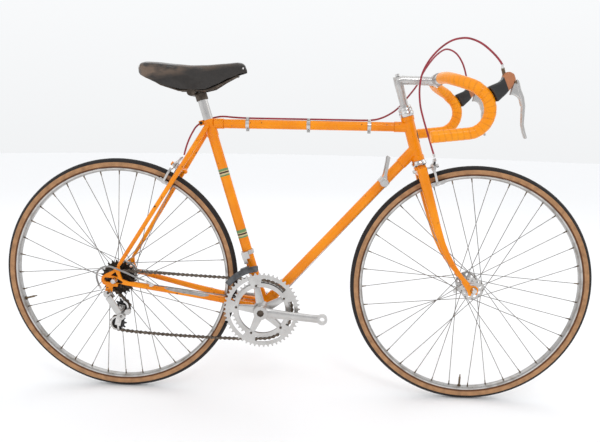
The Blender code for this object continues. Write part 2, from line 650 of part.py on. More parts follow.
def make_saddle():
    bm = bmesh.new()
    bmesh.ops.create_grid(bm, x_segments=14, y_segments=10, size=1.0)
    for vertex in bm.verts:
        share = (vertex.co.x + 1) / 2
        around = vertex.co.y
        half = saddle_half_width(share)
        depth = saddle_skirt_depth(share)
        angle = min(1.0, abs(around) / 0.62) * math.pi / 2
        fall = max(0.0, (abs(around) - 0.62) / 0.38)
        flare = 0.005 * math.exp(-((share - 0.57) / 0.20) ** 2)
        side = half * math.sin(angle) + flare * fall
        drop = 0.014 * (1 - math.cos(angle)) + max(0.0, depth - 0.014) * fall
        height = saddle_top_height(share) - drop
        vertex.co = (SADDLE_REAR + SADDLE_LENGTH * share, math.copysign(side, around) if around else 0.0, height)
    bmesh.ops.recalc_face_normals(bm, faces=bm.faces)
    mesh = bpy.data.meshes.new("saddle")
    bm.to_mesh(mesh)
    bm.free()
    shape = add_object("saddle", mesh)
    wall = shape.modifiers.new("shell", "SOLIDIFY")
    wall.thickness = SADDLE_SHELL
    wall.offset = -1.0 if mesh.polygons[len(mesh.polygons) // 2].normal.z > 0 else 1.0
    shape.data = evaluated_copy(shape)
    shape.modifiers.clear()
    finish("saddle_top", shape, "black_leather", SEAT_TOP)


def make_saddle_frame():
    clamp = SADDLE_CLAMP
    rails = []
    for side in (-1, 1):
        points = [clamp + Vector(p) for p in ((0.122, side * 0.004, 0.044), (0.090, side * 0.011, 0.028),
                                              (0.060, side * 0.017, 0.010), (0.036, side * 0.0195, 0.004),
                                              (-0.034, side * 0.0205, 0.004), (-0.080, side * 0.026, 0.018),
                                              (-0.112, side * 0.032, 0.036))]
        rails.append(tube("rail", points, [0.0035] * len(points), sides=6))
    body = cylinder("clamp", clamp + RIGHT * 0.0265, clamp + LEFT * 0.0265, 0.0115, sides=16)
    collar = cylinder("collar", SEAT_TOP + SEAT_UP * (SEATPOST_RISE - 0.0180), SEAT_TOP + SEAT_UP * (SEATPOST_RISE + 0.003),
                      SEATPOST_DIAMETER / 2 + 0.0028, sides=24)
    front_tie = cylinder("tie", clamp + Vector((0.122, -0.009, 0.044)), clamp + Vector((0.122, 0.009, 0.044)),
                         0.0045, sides=8)
    join(body, collar, *rails, front_tie)
    cut(body, cylinder("bore", SEAT_TOP, SEAT_TOP + SEAT_UP * 0.2, SEATPOST_DIAMETER / 2 + GAP, sides=24))
    finish("saddle_frame", body, "dark_steel", SEAT_TOP)


# ---- Fork ----


def blade_forward(drop):
    """How far a fork blade's axis lies ahead of the steering axis, at a distance below the crown race."""
    curve = FORK_RAKE / (FORK_LENGTH - BEND_START) ** BEND_POWER
    return curve * max(0.0, drop - BEND_START) ** BEND_POWER


def blade_side(drop):
    bottom = FRONT_HUB_WIDTH / 2 + FORK_END_THICKNESS / 2
    return BLADE_SPREAD_TOP + (bottom - BLADE_SPREAD_TOP) * drop / FORK_LENGTH


def fork_end(side):
    """A front dropout: a plate with its slot open downwards."""
    inner = side * FRONT_HUB_WIDTH / 2
    outer = inner + side * FORK_END_THICKNESS
    outline = [(-0.034, 0.0215), (-0.0235, 0.0225), (-0.006, 0.0120), (0.0055, 0.0115), (0.0115, 0.0060),
               (0.0125, -0.0020), (0.0095, -0.0120), (0.0058, -0.0120), (0.0053, 0.0000), (0.0037, 0.0037),
               (0.0000, 0.0053), (-0.0037, 0.0037), (-0.0053, 0.0000), (-0.0056, -0.0150), (-0.0120, -0.0160),
               (-0.0170, -0.0030), (-0.0230, 0.0055)]
    return side_plate("fork_end", outline, min(inner, outer), max(inner, outer), FRONT_HUB)


def make_fork():
    half = BLADE_SPREAD_TOP
    crown = block("crown", steer(-0.0145), HEAD_FORWARD, LEFT, HEAD_UP, (0.026, 2 * half + 0.010, 0.023))
    soften(crown, 0.006, 2)
    race = cylinder("race", steer(-0.008), steer(0.0), 0.0165)
    pieces = [race]
    for side in (-1, 1):
        stations = []
        for drop in (0.004, 0.045, 0.11, 0.17, 0.215, 0.25, 0.28, 0.305, 0.326, 0.3435):
            ahead = blade_forward(drop)
            slope = (blade_forward(drop + 0.001) - ahead) / 0.001
            along = (HEAD_FORWARD * slope - HEAD_UP).normalized()
            forward = LEFT.cross(along).normalized()
            share = min(1.0, max(0.0, (drop - 0.03) / 0.30))
            depth = BLADE_DEPTH_TOP + (BLADE_RADIUS_END - BLADE_DEPTH_TOP) * share**1.15
            width = BLADE_WIDTH_TOP + (BLADE_RADIUS_END - BLADE_WIDTH_TOP) * share
            stations.append((steer(-drop, ahead, side * blade_side(drop)), forward * depth, LEFT * width))
        pieces.append(loft("blade", stations, sides=12))
        pieces.append(fork_end(side))
    steerer = cylinder("steerer", steer(-0.004), steer(STEERER_TOP), STEERER_DIAMETER / 2, sides=18)
    bolt_at = steer(-FRONT_BRAKE_DROP)
    bolt_end = steer(-FRONT_BRAKE_DROP, FRONT_BRAKE_FORWARD + 2 * ARM_THICKNESS + 0.004)
    bolt = cylinder("bolt", bolt_at - HEAD_FORWARD * 0.0224, bolt_end, BRAKE_BOLT_RADIUS, sides=10)
    nut = cylinder("nut", bolt_end - HEAD_FORWARD * 0.001, bolt_end + HEAD_FORWARD * 0.005, 0.0060, sides=6)
    back_nut = cylinder("back_nut", bolt_at - HEAD_FORWARD * 0.021, bolt_at - HEAD_FORWARD * 0.010, 0.0055, sides=6)
    join(crown, *pieces, steerer, bolt, nut, back_nut)
    cut(crown, cylinder("quill_bore", steer(STEERER_TOP - 0.080), steer(STEERER_TOP + 0.01),
                        QUILL_DIAMETER / 2 + GAP, sides=24))
    finish("fork", crown, "orange_enamel", CROWN_RACE)


# ---- Cockpit ----


def make_stem():
    quill = cylinder("quill", steer(STEERER_TOP - 0.070), steer(STEM_RISE), QUILL_DIAMETER / 2, sides=24)
    front = BAR_CLAMP - UP * STEM_BAR_OFFSET
    corner = [(STEM_CORNER - HEAD_UP * 0.030, HEAD_FORWARD * 0.0112, LEFT * 0.0112),
              (STEM_CORNER - HEAD_UP * 0.012, HEAD_FORWARD * 0.0118, LEFT * 0.0112),
              (STEM_CORNER + Vector((0.0005, 0, -0.0020)), polar(-32, 0.0160), LEFT * 0.0112),
              (STEM_CORNER + Vector((0.0160, 0, -0.0005)), polar(-84, 0.0122), LEFT * 0.0108),
              (STEM_CORNER.lerp(front, 0.35), UP * -0.0115, LEFT * 0.0104),
              (STEM_CORNER.lerp(front, 0.85), UP * -0.0115, LEFT * 0.0104),
              (front, UP * -0.0115, LEFT * 0.0104)]
    extension = loft("extension", corner, sides=14)
    clamp = cylinder("clamp", BAR_CLAMP + RIGHT * 0.020, BAR_CLAMP + LEFT * 0.020, 0.0168, sides=24)
    join(quill, extension, clamp)
    bore = cylinder("bore", BAR_CLAMP + RIGHT * 0.05, BAR_CLAMP + LEFT * 0.05, BAR_DIAMETER / 2 + 2 * GAP, sides=24)
    cut(quill, bore)
    finish("stem", quill, "polished_alloy", CROWN_RACE)


def hook_point(centre, angle, grow=0.0):
    """A point on the hook's oval, or outside it by a distance."""
    turn = math.radians(angle)
    return centre + Vector(((HOOK_DEPTH + grow) * math.cos(turn), 0, (HOOK_HEIGHT + grow) * math.sin(turn)))


def hook_centre(side):
    return BAR_CLAMP + Vector((HOOK_FORWARD, side * BAR_WIDTH / 2, -HOOK_DOWN))


def bar_half(side):
    """The bar's axis on one side, from the middle plane to its end."""
    half = BAR_WIDTH / 2
    hook = hook_centre(side)
    points = [BAR_CLAMP + LEFT * side * y for y in (0.0, 0.030, 0.060)]
    points += [BAR_CLAMP + Vector((x, side * (half - inside), z)) for x, inside, z in BAR_BEND]
    steps = 9
    for i in range(steps + 1):
        points.append(hook_point(hook, RAMP_ANGLE + (HOOK_END_ANGLE - RAMP_ANGLE) * i / steps))
    back = polar(HOOK_END_ANGLE - 90)
    points.append(points[-1] + back * DROP_LENGTH / 2)
    points.append(points[-1] + back * DROP_LENGTH / 2)
    return points


def swept(name, path, radius, sides):
    """A round bar along a path in space."""
    curve = bpy.data.curves.new(name, "CURVE")
    curve.dimensions = "3D"
    curve.bevel_depth = radius
    curve.bevel_resolution = (sides - 4) // 2
    curve.use_fill_caps = True
    spline = curve.splines.new("POLY")
    spline.points.add(len(path) - 1)
    for place, point in zip(spline.points, path):
        place.co = (*point, 1)
    shape = add_object(name, curve)
    mesh = evaluated_copy(shape)
    bpy.data.objects.remove(shape)
    return add_object(name, mesh)


def make_handlebar():
    right = smooth_path(bar_half(-1), 0.019)
    left = smooth_path(bar_half(1), 0.019)
    whole = list(reversed(right)) + left[1:]
    bar = swept("bar", whole, BAR_DIAMETER / 2, 10)
    finish("handlebar", bar, "polished_alloy", CROWN_RACE)
    for name, half in (("bar_tape_right", right), ("bar_tape_left", left)):
        taped = [p for p in half if abs(p.y) > TAPE_START]
        shape = swept("tape", taped, TAPE_RADIUS, 10)
        beyond = [taped[0] * 2 - taped[1]] + taped + [taped[-1] * 2 - taped[-2]]
        cut(shape, swept("inside", beyond, BAR_DIAMETER / 2 + GAP, 10))
        finish(name, shape, "orange_tape", CROWN_RACE)


def lever_place(side):
    """The brake lever's pivot on one side."""
    forward, up = LEVER_PIVOT
    return BAR_CLAMP + Vector((forward, side * BAR_WIDTH / 2, up))


def make_brake_hoods():
    for name, side in (("brake_hood_right", -1), ("brake_hood_left", 1)):
        hook = hook_centre(side)
        arc = [hook_point(hook, angle, TAPE_RADIUS + 2 * GAP) for angle in (16, 25, 34, 43, 52)]
        horn = [hook + Vector(p) for p in ((0.0560, 0, 0.0612), (0.0670, 0, 0.0662), (0.0735, 0, 0.0730),
                                           (0.0765, 0, 0.0850), (0.0810, 0, 0.0882), (0.0890, 0, 0.0889), (0.0985, 0, 0.0840), (0.1030, 0, 0.0724),
                                           (0.0985, 0, 0.0600), (0.0920, 0, 0.0500), (0.0835, 0, 0.0385))]
        shape = prism("hood", arc + horn, HOOD_WIDTH, LEFT)
        soften(shape, 0.004, 2)
        finish(name, shape, "gum_rubber", CROWN_RACE)


def make_brake_levers():
    front = ((0.0070, 0.0080), (0.0120, 0.0000), (0.0160, -0.0150), (0.0245, -0.0330), (0.0285, -0.0530),
             (0.0285, -0.0750), (0.0285, -0.0960), (0.0330, -0.1120), (0.0385, -0.1280))
    back = ((0.0330, -0.1300), (0.0270, -0.1150), (0.0225, -0.0980), (0.0215, -0.0760), (0.0205, -0.0560),
            (0.0160, -0.0380), (0.0075, -0.0200), (0.0040, -0.0050), (0.0025, 0.0060))
    for name, side in (("brake_lever_right", -1), ("brake_lever_left", 1)):
        pivot = lever_place(side)
        outline = [(x, z) for x, z in front + back]
        shape = side_plate("lever", outline, pivot.y - LEVER_WIDTH / 2, pivot.y + LEVER_WIDTH / 2, pivot)
        soften(shape, 0.0018, 1)
        finish(name, shape, "polished_alloy", pivot)


# ---- Brakes ----


def make_caliper(names, pivot, out, down, side, pad_drop, along_rim):
    """Two sidepull arms on one bolt. `side` points to the cable's side, `out` away from the frame."""
    low = pad_drop - 0.0040
    high = pad_drop + 0.0060
    cable_arm = [(-0.0075, -0.0060), (0.0040, -0.0085), (0.0200, -0.0050), (0.0440, -0.0050), (0.0450, 0.0030),
                 (0.0320, 0.0060), (0.0320, 0.0240), (0.0270, low), (0.0230, high), (0.0165, high),
                 (0.0165, low), (0.0225, 0.0320), (0.0235, 0.0220), (0.0200, 0.0120), (0.0060, 0.0085),
                 (-0.0060, 0.0070)]
    far_arm = [(0.0070, 0.0070), (-0.0070, 0.0085), (-0.0200, 0.0120), (-0.0235, 0.0220), (-0.0225, 0.0320),
               (-0.0165, low), (-0.0165, high), (-0.0230, high), (-0.0270, low), (-0.0320, 0.0240),
               (-0.0310, 0.0060), (-0.0200, -0.0070), (0.0020, -0.0110), (0.0250, -0.0230), (0.0440, -0.0250),
               (0.0450, -0.0170), (0.0300, -0.0150), (0.0120, -0.0050)]
    for name, outline, layer, hand in zip(names, (cable_arm, far_arm), (0, 1), (1, -1)):
        points = [side * s + down * d for s, d in outline]
        centre = pivot + out * ((layer + 0.5) * ARM_THICKNESS + (layer + 1) * GAP)
        arm = prism("arm", points, ARM_THICKNESS, out, centre)
        rim_side = RIM_WIDTH / 2 + PAD_GAP
        pad_width = 0.0095
        middle = pivot + down * pad_drop + side * hand * (rim_side + pad_width / 2) + out * ARM_THICKNESS
        across = along_rim.cross(side).normalized()
        pad = block("pad", middle, along_rim, side, across, (0.046, pad_width, 0.0085))
        join(arm, pad)
        cut(arm, cylinder("hole", pivot - out * 0.01, pivot + out * 0.03, BRAKE_BOLT_RADIUS + GAP, sides=12))
        finish(name, arm, "polished_alloy", pivot)


def rim_tangent(hub, place, towards):
    """The rim's direction next to a pad, on the side given."""
    outwards = (place - hub).normalized()
    tangent = Vector((-outwards.z, 0, outwards.x))
    return tangent if tangent.dot(towards) > 0 else -tangent


def make_brakes():
    pivot = steer(-FRONT_BRAKE_DROP, FRONT_BRAKE_FORWARD)
    pads = pivot - HEAD_UP * FRONT_PAD_DROP
    make_caliper(("front_brake_arm_right", "front_brake_arm_left"), pivot, HEAD_FORWARD, -HEAD_UP, RIGHT,
                 FRONT_PAD_DROP, rim_tangent(FRONT_HUB, pads, HEAD_FORWARD))
    pivot = BRIDGE + STAY_BACK * REAR_BRAKE_BACK
    pads = pivot + STAY_DOWN * REAR_PAD_DROP
    make_caliper(("rear_brake_arm_left", "rear_brake_arm_right"), pivot, STAY_BACK, STAY_DOWN, LEFT,
                 REAR_PAD_DROP, rim_tangent(REAR_HUB, pads, STAY_BACK))


# ---- Wheels ----


def make_tyre_and_rim(prefix, hub):
    half = RIM_WIDTH / 2
    rim = [(-half + 0.0015, RIM_INNER_RADIUS), (half - 0.0015, RIM_INNER_RADIUS), (half, RIM_INNER_RADIUS + 0.0025),
           (half, RIM_OUTER_RADIUS), (-half, RIM_OUTER_RADIUS), (-half, RIM_INNER_RADIUS + 0.0025)]
    turn = 360 / WHEEL_SEGMENTS
    finish(prefix + "_rim", revolve("rim", hub, LEFT, rim, WHEEL_SEGMENTS, turn), "polished_alloy", hub)
    wide = TYRE_WIDTH / 2
    base = RIM_OUTER_RADIUS + GAP
    height = WHEEL_RADIUS - base
    shape = [(0.70, 0.0), (0.98, 0.32), (0.90, 0.72), (0.45, 0.955)]
    tyre = [(wide * w, base + height * h) for w, h in shape] + [(0.0, WHEEL_RADIUS)]
    tyre += [(-wide * w, base + height * h) for w, h in reversed(shape)]
    finish(prefix + "_tyre", revolve("tyre", hub, LEFT, tyre, WHEEL_SEGMENTS, turn), "black_rubber", hub)


def make_spokes(name, hub, flange_side, rim_side, nipple_angle):
    """Eighteen spokes of one side, crossed three times. Half lean one way and half the other."""
    start_radius = FLANGE_RADIUS + 2 * GAP
    hole_radius = FLANGE_RADIUS - 0.003
    end_radius = RIM_INNER_RADIUS * math.cos(math.pi / WHEEL_SEGMENTS) - 2 * GAP
    spokes = []
    for i in range(SPOKES_PER_SIDE):
        lean = SPOKE_CROSSING_ANGLE if i % 2 == 0 else -SPOKE_CROSSING_ANGLE
        angle = nipple_angle + 360 * i / SPOKES_PER_SIDE
        outer = hub + polar(angle, end_radius) + LEFT * rim_side
        inner = hub + polar(angle + lean, hole_radius) + LEFT * (flange_side + math.copysign(SPOKE_OFFSET, lean))
        share = 0.0
        reach = inner - hub
        while math.hypot(reach.x, reach.z) < start_radius:
            share += 0.002
            reach = inner.lerp(outer, share) - hub
        spokes.append(cylinder("spoke", inner.lerp(outer, share), outer, SPOKE_RADIUS, sides=3))
    join(spokes[0], *spokes[1:])
    finish(name, spokes[0], "polished_alloy", hub)


def hub_profile(right_end, right_flange, left_flange, left_end, barrel, seat=None):
    """Half the section of a high-flange hub, as (left, radius) points."""
    half = FLANGE_THICKNESS / 2
    bore = AXLE_RADIUS + GAP
    collar = seat or 0.0115
    profile = [(right_end, bore), (right_end, collar), (right_flange - half - 0.0005, collar)]
    profile += [(right_flange - half, FLANGE_RADIUS), (right_flange + half, FLANGE_RADIUS),
                (right_flange + half + 0.003, barrel), (left_flange - half - 0.003, barrel),
                (left_flange - half, FLANGE_RADIUS), (left_flange + half, FLANGE_RADIUS)]
    profile += [(left_flange + half + 0.0005, 0.0115), (left_end, 0.0115), (left_end, bore)]
    return profile


def make_wheels():
    rear = ("rear", REAR_HUB, REAR_HUB_WIDTH, REAR_FLANGES, REAR_NIPPLE_ANGLE, REAR_LEFT_TURN)
    front = ("front", FRONT_HUB, FRONT_HUB_WIDTH, FRONT_FLANGES, FRONT_NIPPLE_ANGLE, FRONT_LEFT_TURN)
    for prefix, hub, width, flanges, nipple, left_turn in (rear, front):
        make_tyre_and_rim(prefix, hub)
        end = width / 2 - HUB_END
        if prefix == "rear":
            profile = hub_profile(FREEWHEEL_SEAT_END, *flanges, end, 0.0140, FREEWHEEL_SEAT_RADIUS)
        else:
            profile = hub_profile(-end, *flanges, end, 0.0120)
        finish(prefix + "_hub", revolve("hub", hub, LEFT, profile, 18), "polished_alloy", hub)
        make_spokes(prefix + "_spokes_right", hub, flanges[0], -0.0025, nipple)
        make_spokes(prefix + "_spokes_left", hub, flanges[1], 0.0025, nipple + left_turn)


def make_axle(name, hub, width, thickness):
    """An axle with its locknuts and quick-release skewer, standing still in the dropouts."""
    half = width / 2
    outside = half + thickness + GAP
    axle = cylinder("axle", hub + RIGHT * (outside + 0.004), hub + LEFT * (outside + 0.004), AXLE_RADIUS - 0.0004,
                    sides=12)
    left_nut = cylinder("nut", hub + LEFT * (half - HUB_END + GAP), hub + LEFT * (half - GAP), 0.0082, sides=12)
    inner = -FREEWHEEL_SEAT_END + GAP if name == "rear_axle" else half - HUB_END + GAP
    right_nut = cylinder("nut", hub + RIGHT * inner, hub + RIGHT * (half - GAP), 0.0082, sides=12)
    cone = cylinder("cone", hub + RIGHT * outside, hub + RIGHT * (outside + 0.0130), 0.0095, 0.0062, sides=12)
    cap = cylinder("cap", hub + LEFT * outside, hub + LEFT * (outside + 0.0110), 0.0095, sides=12)
    join(axle, left_nut, right_nut, cone, cap)
    finish(name, axle, "bright_chrome")


def make_quick_release(name, hub, width, thickness, angle):
    """The quick-release lever on the left side when it is closed, pointing at an angle."""
    start = width / 2 + thickness + GAP + 0.0110 + GAP
    pivot = hub + LEFT * (start + 0.0065)
    along = polar(angle)
    across = polar(angle - 90)
    outline = [along * reach + across * half * hand for reach, half, hand in
               ((-0.0020, 0.0055, 1), (0.0100, 0.0055, 1), (0.0300, 0.0050, 1), (0.0480, 0.0060, 1),
                (QR_LENGTH, 0.0, 1), (0.0480, 0.0060, -1), (0.0300, 0.0050, -1), (0.0100, 0.0055, -1),
                (-0.0020, 0.0055, -1))]
    blade = prism("blade", outline, 0.0040, LEFT, pivot + LEFT * 0.0030)
    head = cylinder("head", pivot - across * 0.0080, pivot + across * 0.0080, 0.0065 - GAP, sides=14)
    join(head, blade)
    finish(name, head, "bright_chrome", pivot)


# ---- Transmission ----


def ring_outline(tip, root, teeth):
    """Two points for each tooth: its tip and the hollow beside it."""
    points = []
    for i in range(teeth):
        points.append(polar(360 * i / teeth, tip))
        points.append(polar(360 * (i + 0.5) / teeth, root))
    return points


def bolt_place(index, side=0.0):
    return BOTTOM_BRACKET + polar(BOLT_ANGLE + 72 * index, BOLT_CIRCLE_RADIUS) + LEFT * side


def make_chainrings():
    half = RING_THICKNESS / 2
    outer_radius = pitch_radius(OUTER_TEETH)
    outline = ring_outline(outer_radius + 0.0031, outer_radius - 0.0038, OUTER_TEETH)
    outer = prism("outer", outline, RING_THICKNESS, LEFT, BOTTOM_BRACKET + LEFT * OUTER_RING_SIDE)
    chain_radius = pitch_radius(INNER_TEETH) - CHAIN_HALF_HEIGHT - CHAIN_SEAT_GAP
    inner = revolve("inner", BOTTOM_BRACKET, LEFT,
                    [(INNER_RING_SIDE - half, RING_INNER_RADIUS), (INNER_RING_SIDE - half, chain_radius),
                     (INNER_RING_SIDE + half, chain_radius), (INNER_RING_SIDE + half, RING_INNER_RADIUS)], 40)
    centre = cylinder("centre", BOTTOM_BRACKET + RIGHT * 0.1, BOTTOM_BRACKET, RING_INNER_RADIUS, sides=40)
    slots = []
    for i in range(5):
        middle = BOLT_ANGLE + 72 * i + 36
        arc = [polar(middle + a, 0.0955) for a in (-22, -11, 0, 11, 22)]
        arc += [polar(middle + a, 0.0815) for a in (26, 13, 0, -13, -26)]
        slots.append(prism("slot", arc, 0.1, LEFT, BOTTOM_BRACKET))
    cut(outer, centre, *slots)
    for ring in (outer, inner):
        cut(ring, *[cylinder("hole", bolt_place(i, -0.1), bolt_place(i), 0.0050, sides=10) for i in range(5)])
    finish("outer_chainring", outer, "polished_alloy", BOTTOM_BRACKET)
    finish("inner_chainring", inner, "polished_alloy", BOTTOM_BRACKET)


def crank_arm(name, angle, hand):
    """A crank arm from its boss to the pedal's threaded hole."""
    along = polar(angle)
    across = Vector((-along.z, 0, along.x))
    stations = []
    for reach, half, depth in ((-0.004, 0.0170, 0.0065), (0.030, 0.0135, 0.0062), (0.085, 0.0115, 0.0058),
                               (0.140, 0.0110, 0.0058), (CRANK_LENGTH, 0.0120, 0.0060)):
        middle = CRANK_SIDE + 0.0075 + CRANK_FLARE * max(0.0, reach) / CRANK_LENGTH
        centre = BOTTOM_BRACKET + along * reach + LEFT * hand * middle
        stations.append((centre, across * half, LEFT * depth * hand))
    arm = loft("arm", stations, sides=12)
    eye_side = CRANK_SIDE + 0.0075 + CRANK_FLARE
    eye_centre = BOTTOM_BRACKET + along * CRANK_LENGTH
    eye = cylinder("eye", eye_centre + LEFT * hand * (eye_side - 0.0062), eye_centre + LEFT * hand * (eye_side + 0.0062),
                   0.0145, sides=16)
    boss = cylinder("boss", BOTTOM_BRACKET + LEFT * hand * CRANK_SIDE,
                    BOTTOM_BRACKET + LEFT * hand * (CRANK_SIDE + 0.0170), 0.0190, sides=18)
    join(arm, eye, boss)
    hole = cylinder("hole", eye_centre + LEFT * hand * (eye_side - 0.02), eye_centre + LEFT * hand * (eye_side + 0.02),
                    0.0071, sides=16)
    cut(arm, hole)
    arm.name = name
    return arm


def make_cranks():
    spider_outer = INNER_RING_SIDE - RING_THICKNESS / 2 - GAP
    spider_inner = OUTER_RING_SIDE + RING_THICKNESS / 2 + GAP
    arm = crank_arm("crank_right", CRANK_ANGLE, -1)
    boss = cylinder("boss", BOTTOM_BRACKET + LEFT * spider_outer, BOTTOM_BRACKET + RIGHT * (CRANK_SIDE + 0.001), 0.0260,
                    0.0200, sides=24)
    pieces = [boss]
    for i in range(5):
        along = polar(BOLT_ANGLE + 72 * i)
        across = Vector((-along.z, 0, along.x))
        outline = [along * 0.0 + across * 0.014, along * 0.060 + across * 0.0085, along * 0.0790 + across * 0.0070,
                   along * 0.0790 - across * 0.0070, along * 0.060 - across * 0.0085, along * 0.0 - across * 0.014]
        middle = BOTTOM_BRACKET + LEFT * (spider_outer + spider_inner) / 2
        pieces.append(prism("limb", outline, spider_outer - spider_inner, LEFT, middle))
        rib = [along * 0.0 + across * 0.010, along * (RING_INNER_RADIUS - 0.001) + across * 0.0060,
               along * (RING_INNER_RADIUS - 0.001) - across * 0.0060, along * 0.0 - across * 0.010]
        rib_low = spider_inner - 0.0045
        pieces.append(prism("rib", rib, spider_inner - rib_low + 0.0005, LEFT,
                            BOTTOM_BRACKET + LEFT * (spider_inner + rib_low + 0.0005) / 2))
        pieces.append(cylinder("bolt", bolt_place(i, INNER_RING_SIDE + RING_THICKNESS / 2 + 0.0010),
                               bolt_place(i, OUTER_RING_SIDE - RING_THICKNESS / 2 - 0.0012), 0.0045, sides=10))
    join(arm, *pieces)
    cut(arm, cylinder("axle_hole", BOTTOM_BRACKET, BOTTOM_BRACKET + RIGHT * (CRANK_SIDE + 0.0135),
                      CRANK_AXLE_RADIUS + GAP, sides=16))
    finish("crank_right", arm, "polished_alloy", BOTTOM_BRACKET)
    left = crank_arm("crank_left", CRANK_ANGLE + 180, 1)
    axle = cylinder("axle", BOTTOM_BRACKET + RIGHT * (CRANK_SIDE + 0.0130), BOTTOM_BRACKET + LEFT * (CRANK_SIDE + 0.004),
                    CRANK_AXLE_RADIUS, sides=16)
    join(left, axle)
    finish("crank_left", left, "polished_alloy", BOTTOM_BRACKET)


def make_freewheel():
    thin = 0.0010
    bore = AXLE_RADIUS + 0.0042
    seat_bore = FREEWHEEL_SEAT_RADIUS + GAP
    start = REAR_FLANGES[0] - FLANGE_THICKNESS / 2 - 0.0012
    profile = [(start, seat_bore), (start, 0.0200)]
    for i in reversed(range(len(COG_TEETH))):
        side = SMALLEST_COG_SIDE + COG_SPACING * i
        radius = pitch_radius(COG_TEETH[i])
        tip = radius - CHAIN_HALF_HEIGHT - CHAIN_SEAT_GAP if i == 0 else radius + 0.0030
        body = min(0.0200, radius - 0.0080)
        profile += [(side + thin, body), (side + thin, tip), (side - thin, tip), (side - thin, body)]
    end = SMALLEST_COG_SIDE - thin
    profile[-1] = (end - 0.0010, 0.0170)
    profile += [(end - 0.0010, bore), (FREEWHEEL_SEAT_END - GAP, bore), (FREEWHEEL_SEAT_END - GAP, seat_bore)]
    finish("freewheel", revolve("freewheel", REAR_HUB, LEFT, profile, 24), "dark_steel", REAR_HUB)


def tangent_points(centre, radius, other, other_radius, turn, other_turn):
    """Where the straight run between two wheels leaves the first and meets the second.

    A turn of 1 is counter-clockwise seen from the left of the bicycle and -1 clockwise.
    """
    gap = other - centre
    distance = math.hypot(gap.x, gap.z)
    base = math.atan2(gap.z, gap.x)
    lean = math.acos((radius * turn - other_radius * other_turn) / distance)
    normal = Vector((math.cos(base - lean), 0, math.sin(base - lean)))
    return centre + normal * radius * turn, other + normal * other_radius * other_turn


def arc_points(centre, start, end, clockwise, step):
    """Points round a centre from one point to another."""
    first = math.atan2(start.z - centre.z, start.x - centre.x)
    last = math.atan2(end.z - centre.z, end.x - centre.x)
    if clockwise:
        while last > first:
            last -= 2 * math.pi
    else:
        while last < first:
            last += 2 * math.pi
    radius = math.hypot(start.x - centre.x, start.z - centre.z)
    count = max(2, round(abs(last - first) * radius / step))
    return [centre + Vector((math.cos(a), 0, math.sin(a))) * radius
            for a in (first + (last - first) * i / count for i in range(count + 1))]


def chain_path():
    """The closed line of the chain's pins: over the ring, round the cog and through the two pulleys."""
    ring = Vector((BOTTOM_BRACKET.x, INNER_RING_SIDE, BOTTOM_BRACKET.z))
    cog = Vector((REAR_HUB.x, SMALLEST_COG_SIDE, REAR_HUB.z))
    guide = Vector((GUIDE_PULLEY[0], SMALLEST_COG_SIDE, GUIDE_PULLEY[1]))
    tension = Vector((TENSION_PULLEY[0], SMALLEST_COG_SIDE, TENSION_PULLEY[1]))
    wheels = [(ring, pitch_radius(INNER_TEETH), -1), (cog, pitch_radius(COG_TEETH[0]), -1),
              (guide, pitch_radius(JOCKEY_TEETH), 1), (tension, pitch_radius(JOCKEY_TEETH), -1)]
    return wheels


def make_chain():
    wheels = chain_path()
    runs = []
    for i, (centre, radius, turn) in enumerate(wheels):
        other, other_radius, other_turn = wheels[(i + 1) % len(wheels)]
        runs.append(tangent_points(centre, radius, other, other_radius, -turn, -other_turn))
    points = []
    for i, (centre, radius, turn) in enumerate(wheels):
        arrive = runs[i - 1][1]
        leave = runs[i][0]
        arrive.y = leave.y = centre.y
        points += arc_points(centre, arrive, leave, turn > 0, 0.010 if radius < 0.03 else 0.018)
        following = runs[i][1].copy()
        following.y = wheels[(i + 1) % len(wheels)][0].y
        gap = (following - leave).length
        sag = CHAIN_SAG if i == len(wheels) - 1 else 0.0
        extra = int(gap // (0.035 if sag else 0.10))
        for k in range(extra):
            share = (k + 1) / (extra + 1)
            points.append(leave.lerp(following, share) - UP * sag * (4 * share * (1 - share)) ** 0.6)
    stations = []
    diagonal = math.sqrt(2)
    for i, point in enumerate(points):
        along = points[(i + 1) % len(points)] - points[i - 1]
        along.y = 0
        out = along.normalized().cross(LEFT)
        stations.append((point, out * CHAIN_HALF_HEIGHT * diagonal, LEFT * CHAIN_HALF_WIDTH * diagonal))
    finish("chain", loft("chain", stations, closed=True, sides=4), "dark_steel")


# ---- Derailleurs and shifters ----

HANGER = REAR_HUB + Vector((HANGER_OFFSET[0], 0, HANGER_OFFSET[1]))
LINK_TOP = HANGER + Vector((0.0060, -0.0790, -0.0125))
LINK_FOOT = Vector((CAGE_PIVOT[0] - 0.0065, LINK_TOP.y, CAGE_PIVOT[1] + 0.0145))
LINK_DOWN = (LINK_FOOT - LINK_TOP).normalized()
LINK_AXIS = Vector((-LINK_DOWN.z, 0, LINK_DOWN.x))


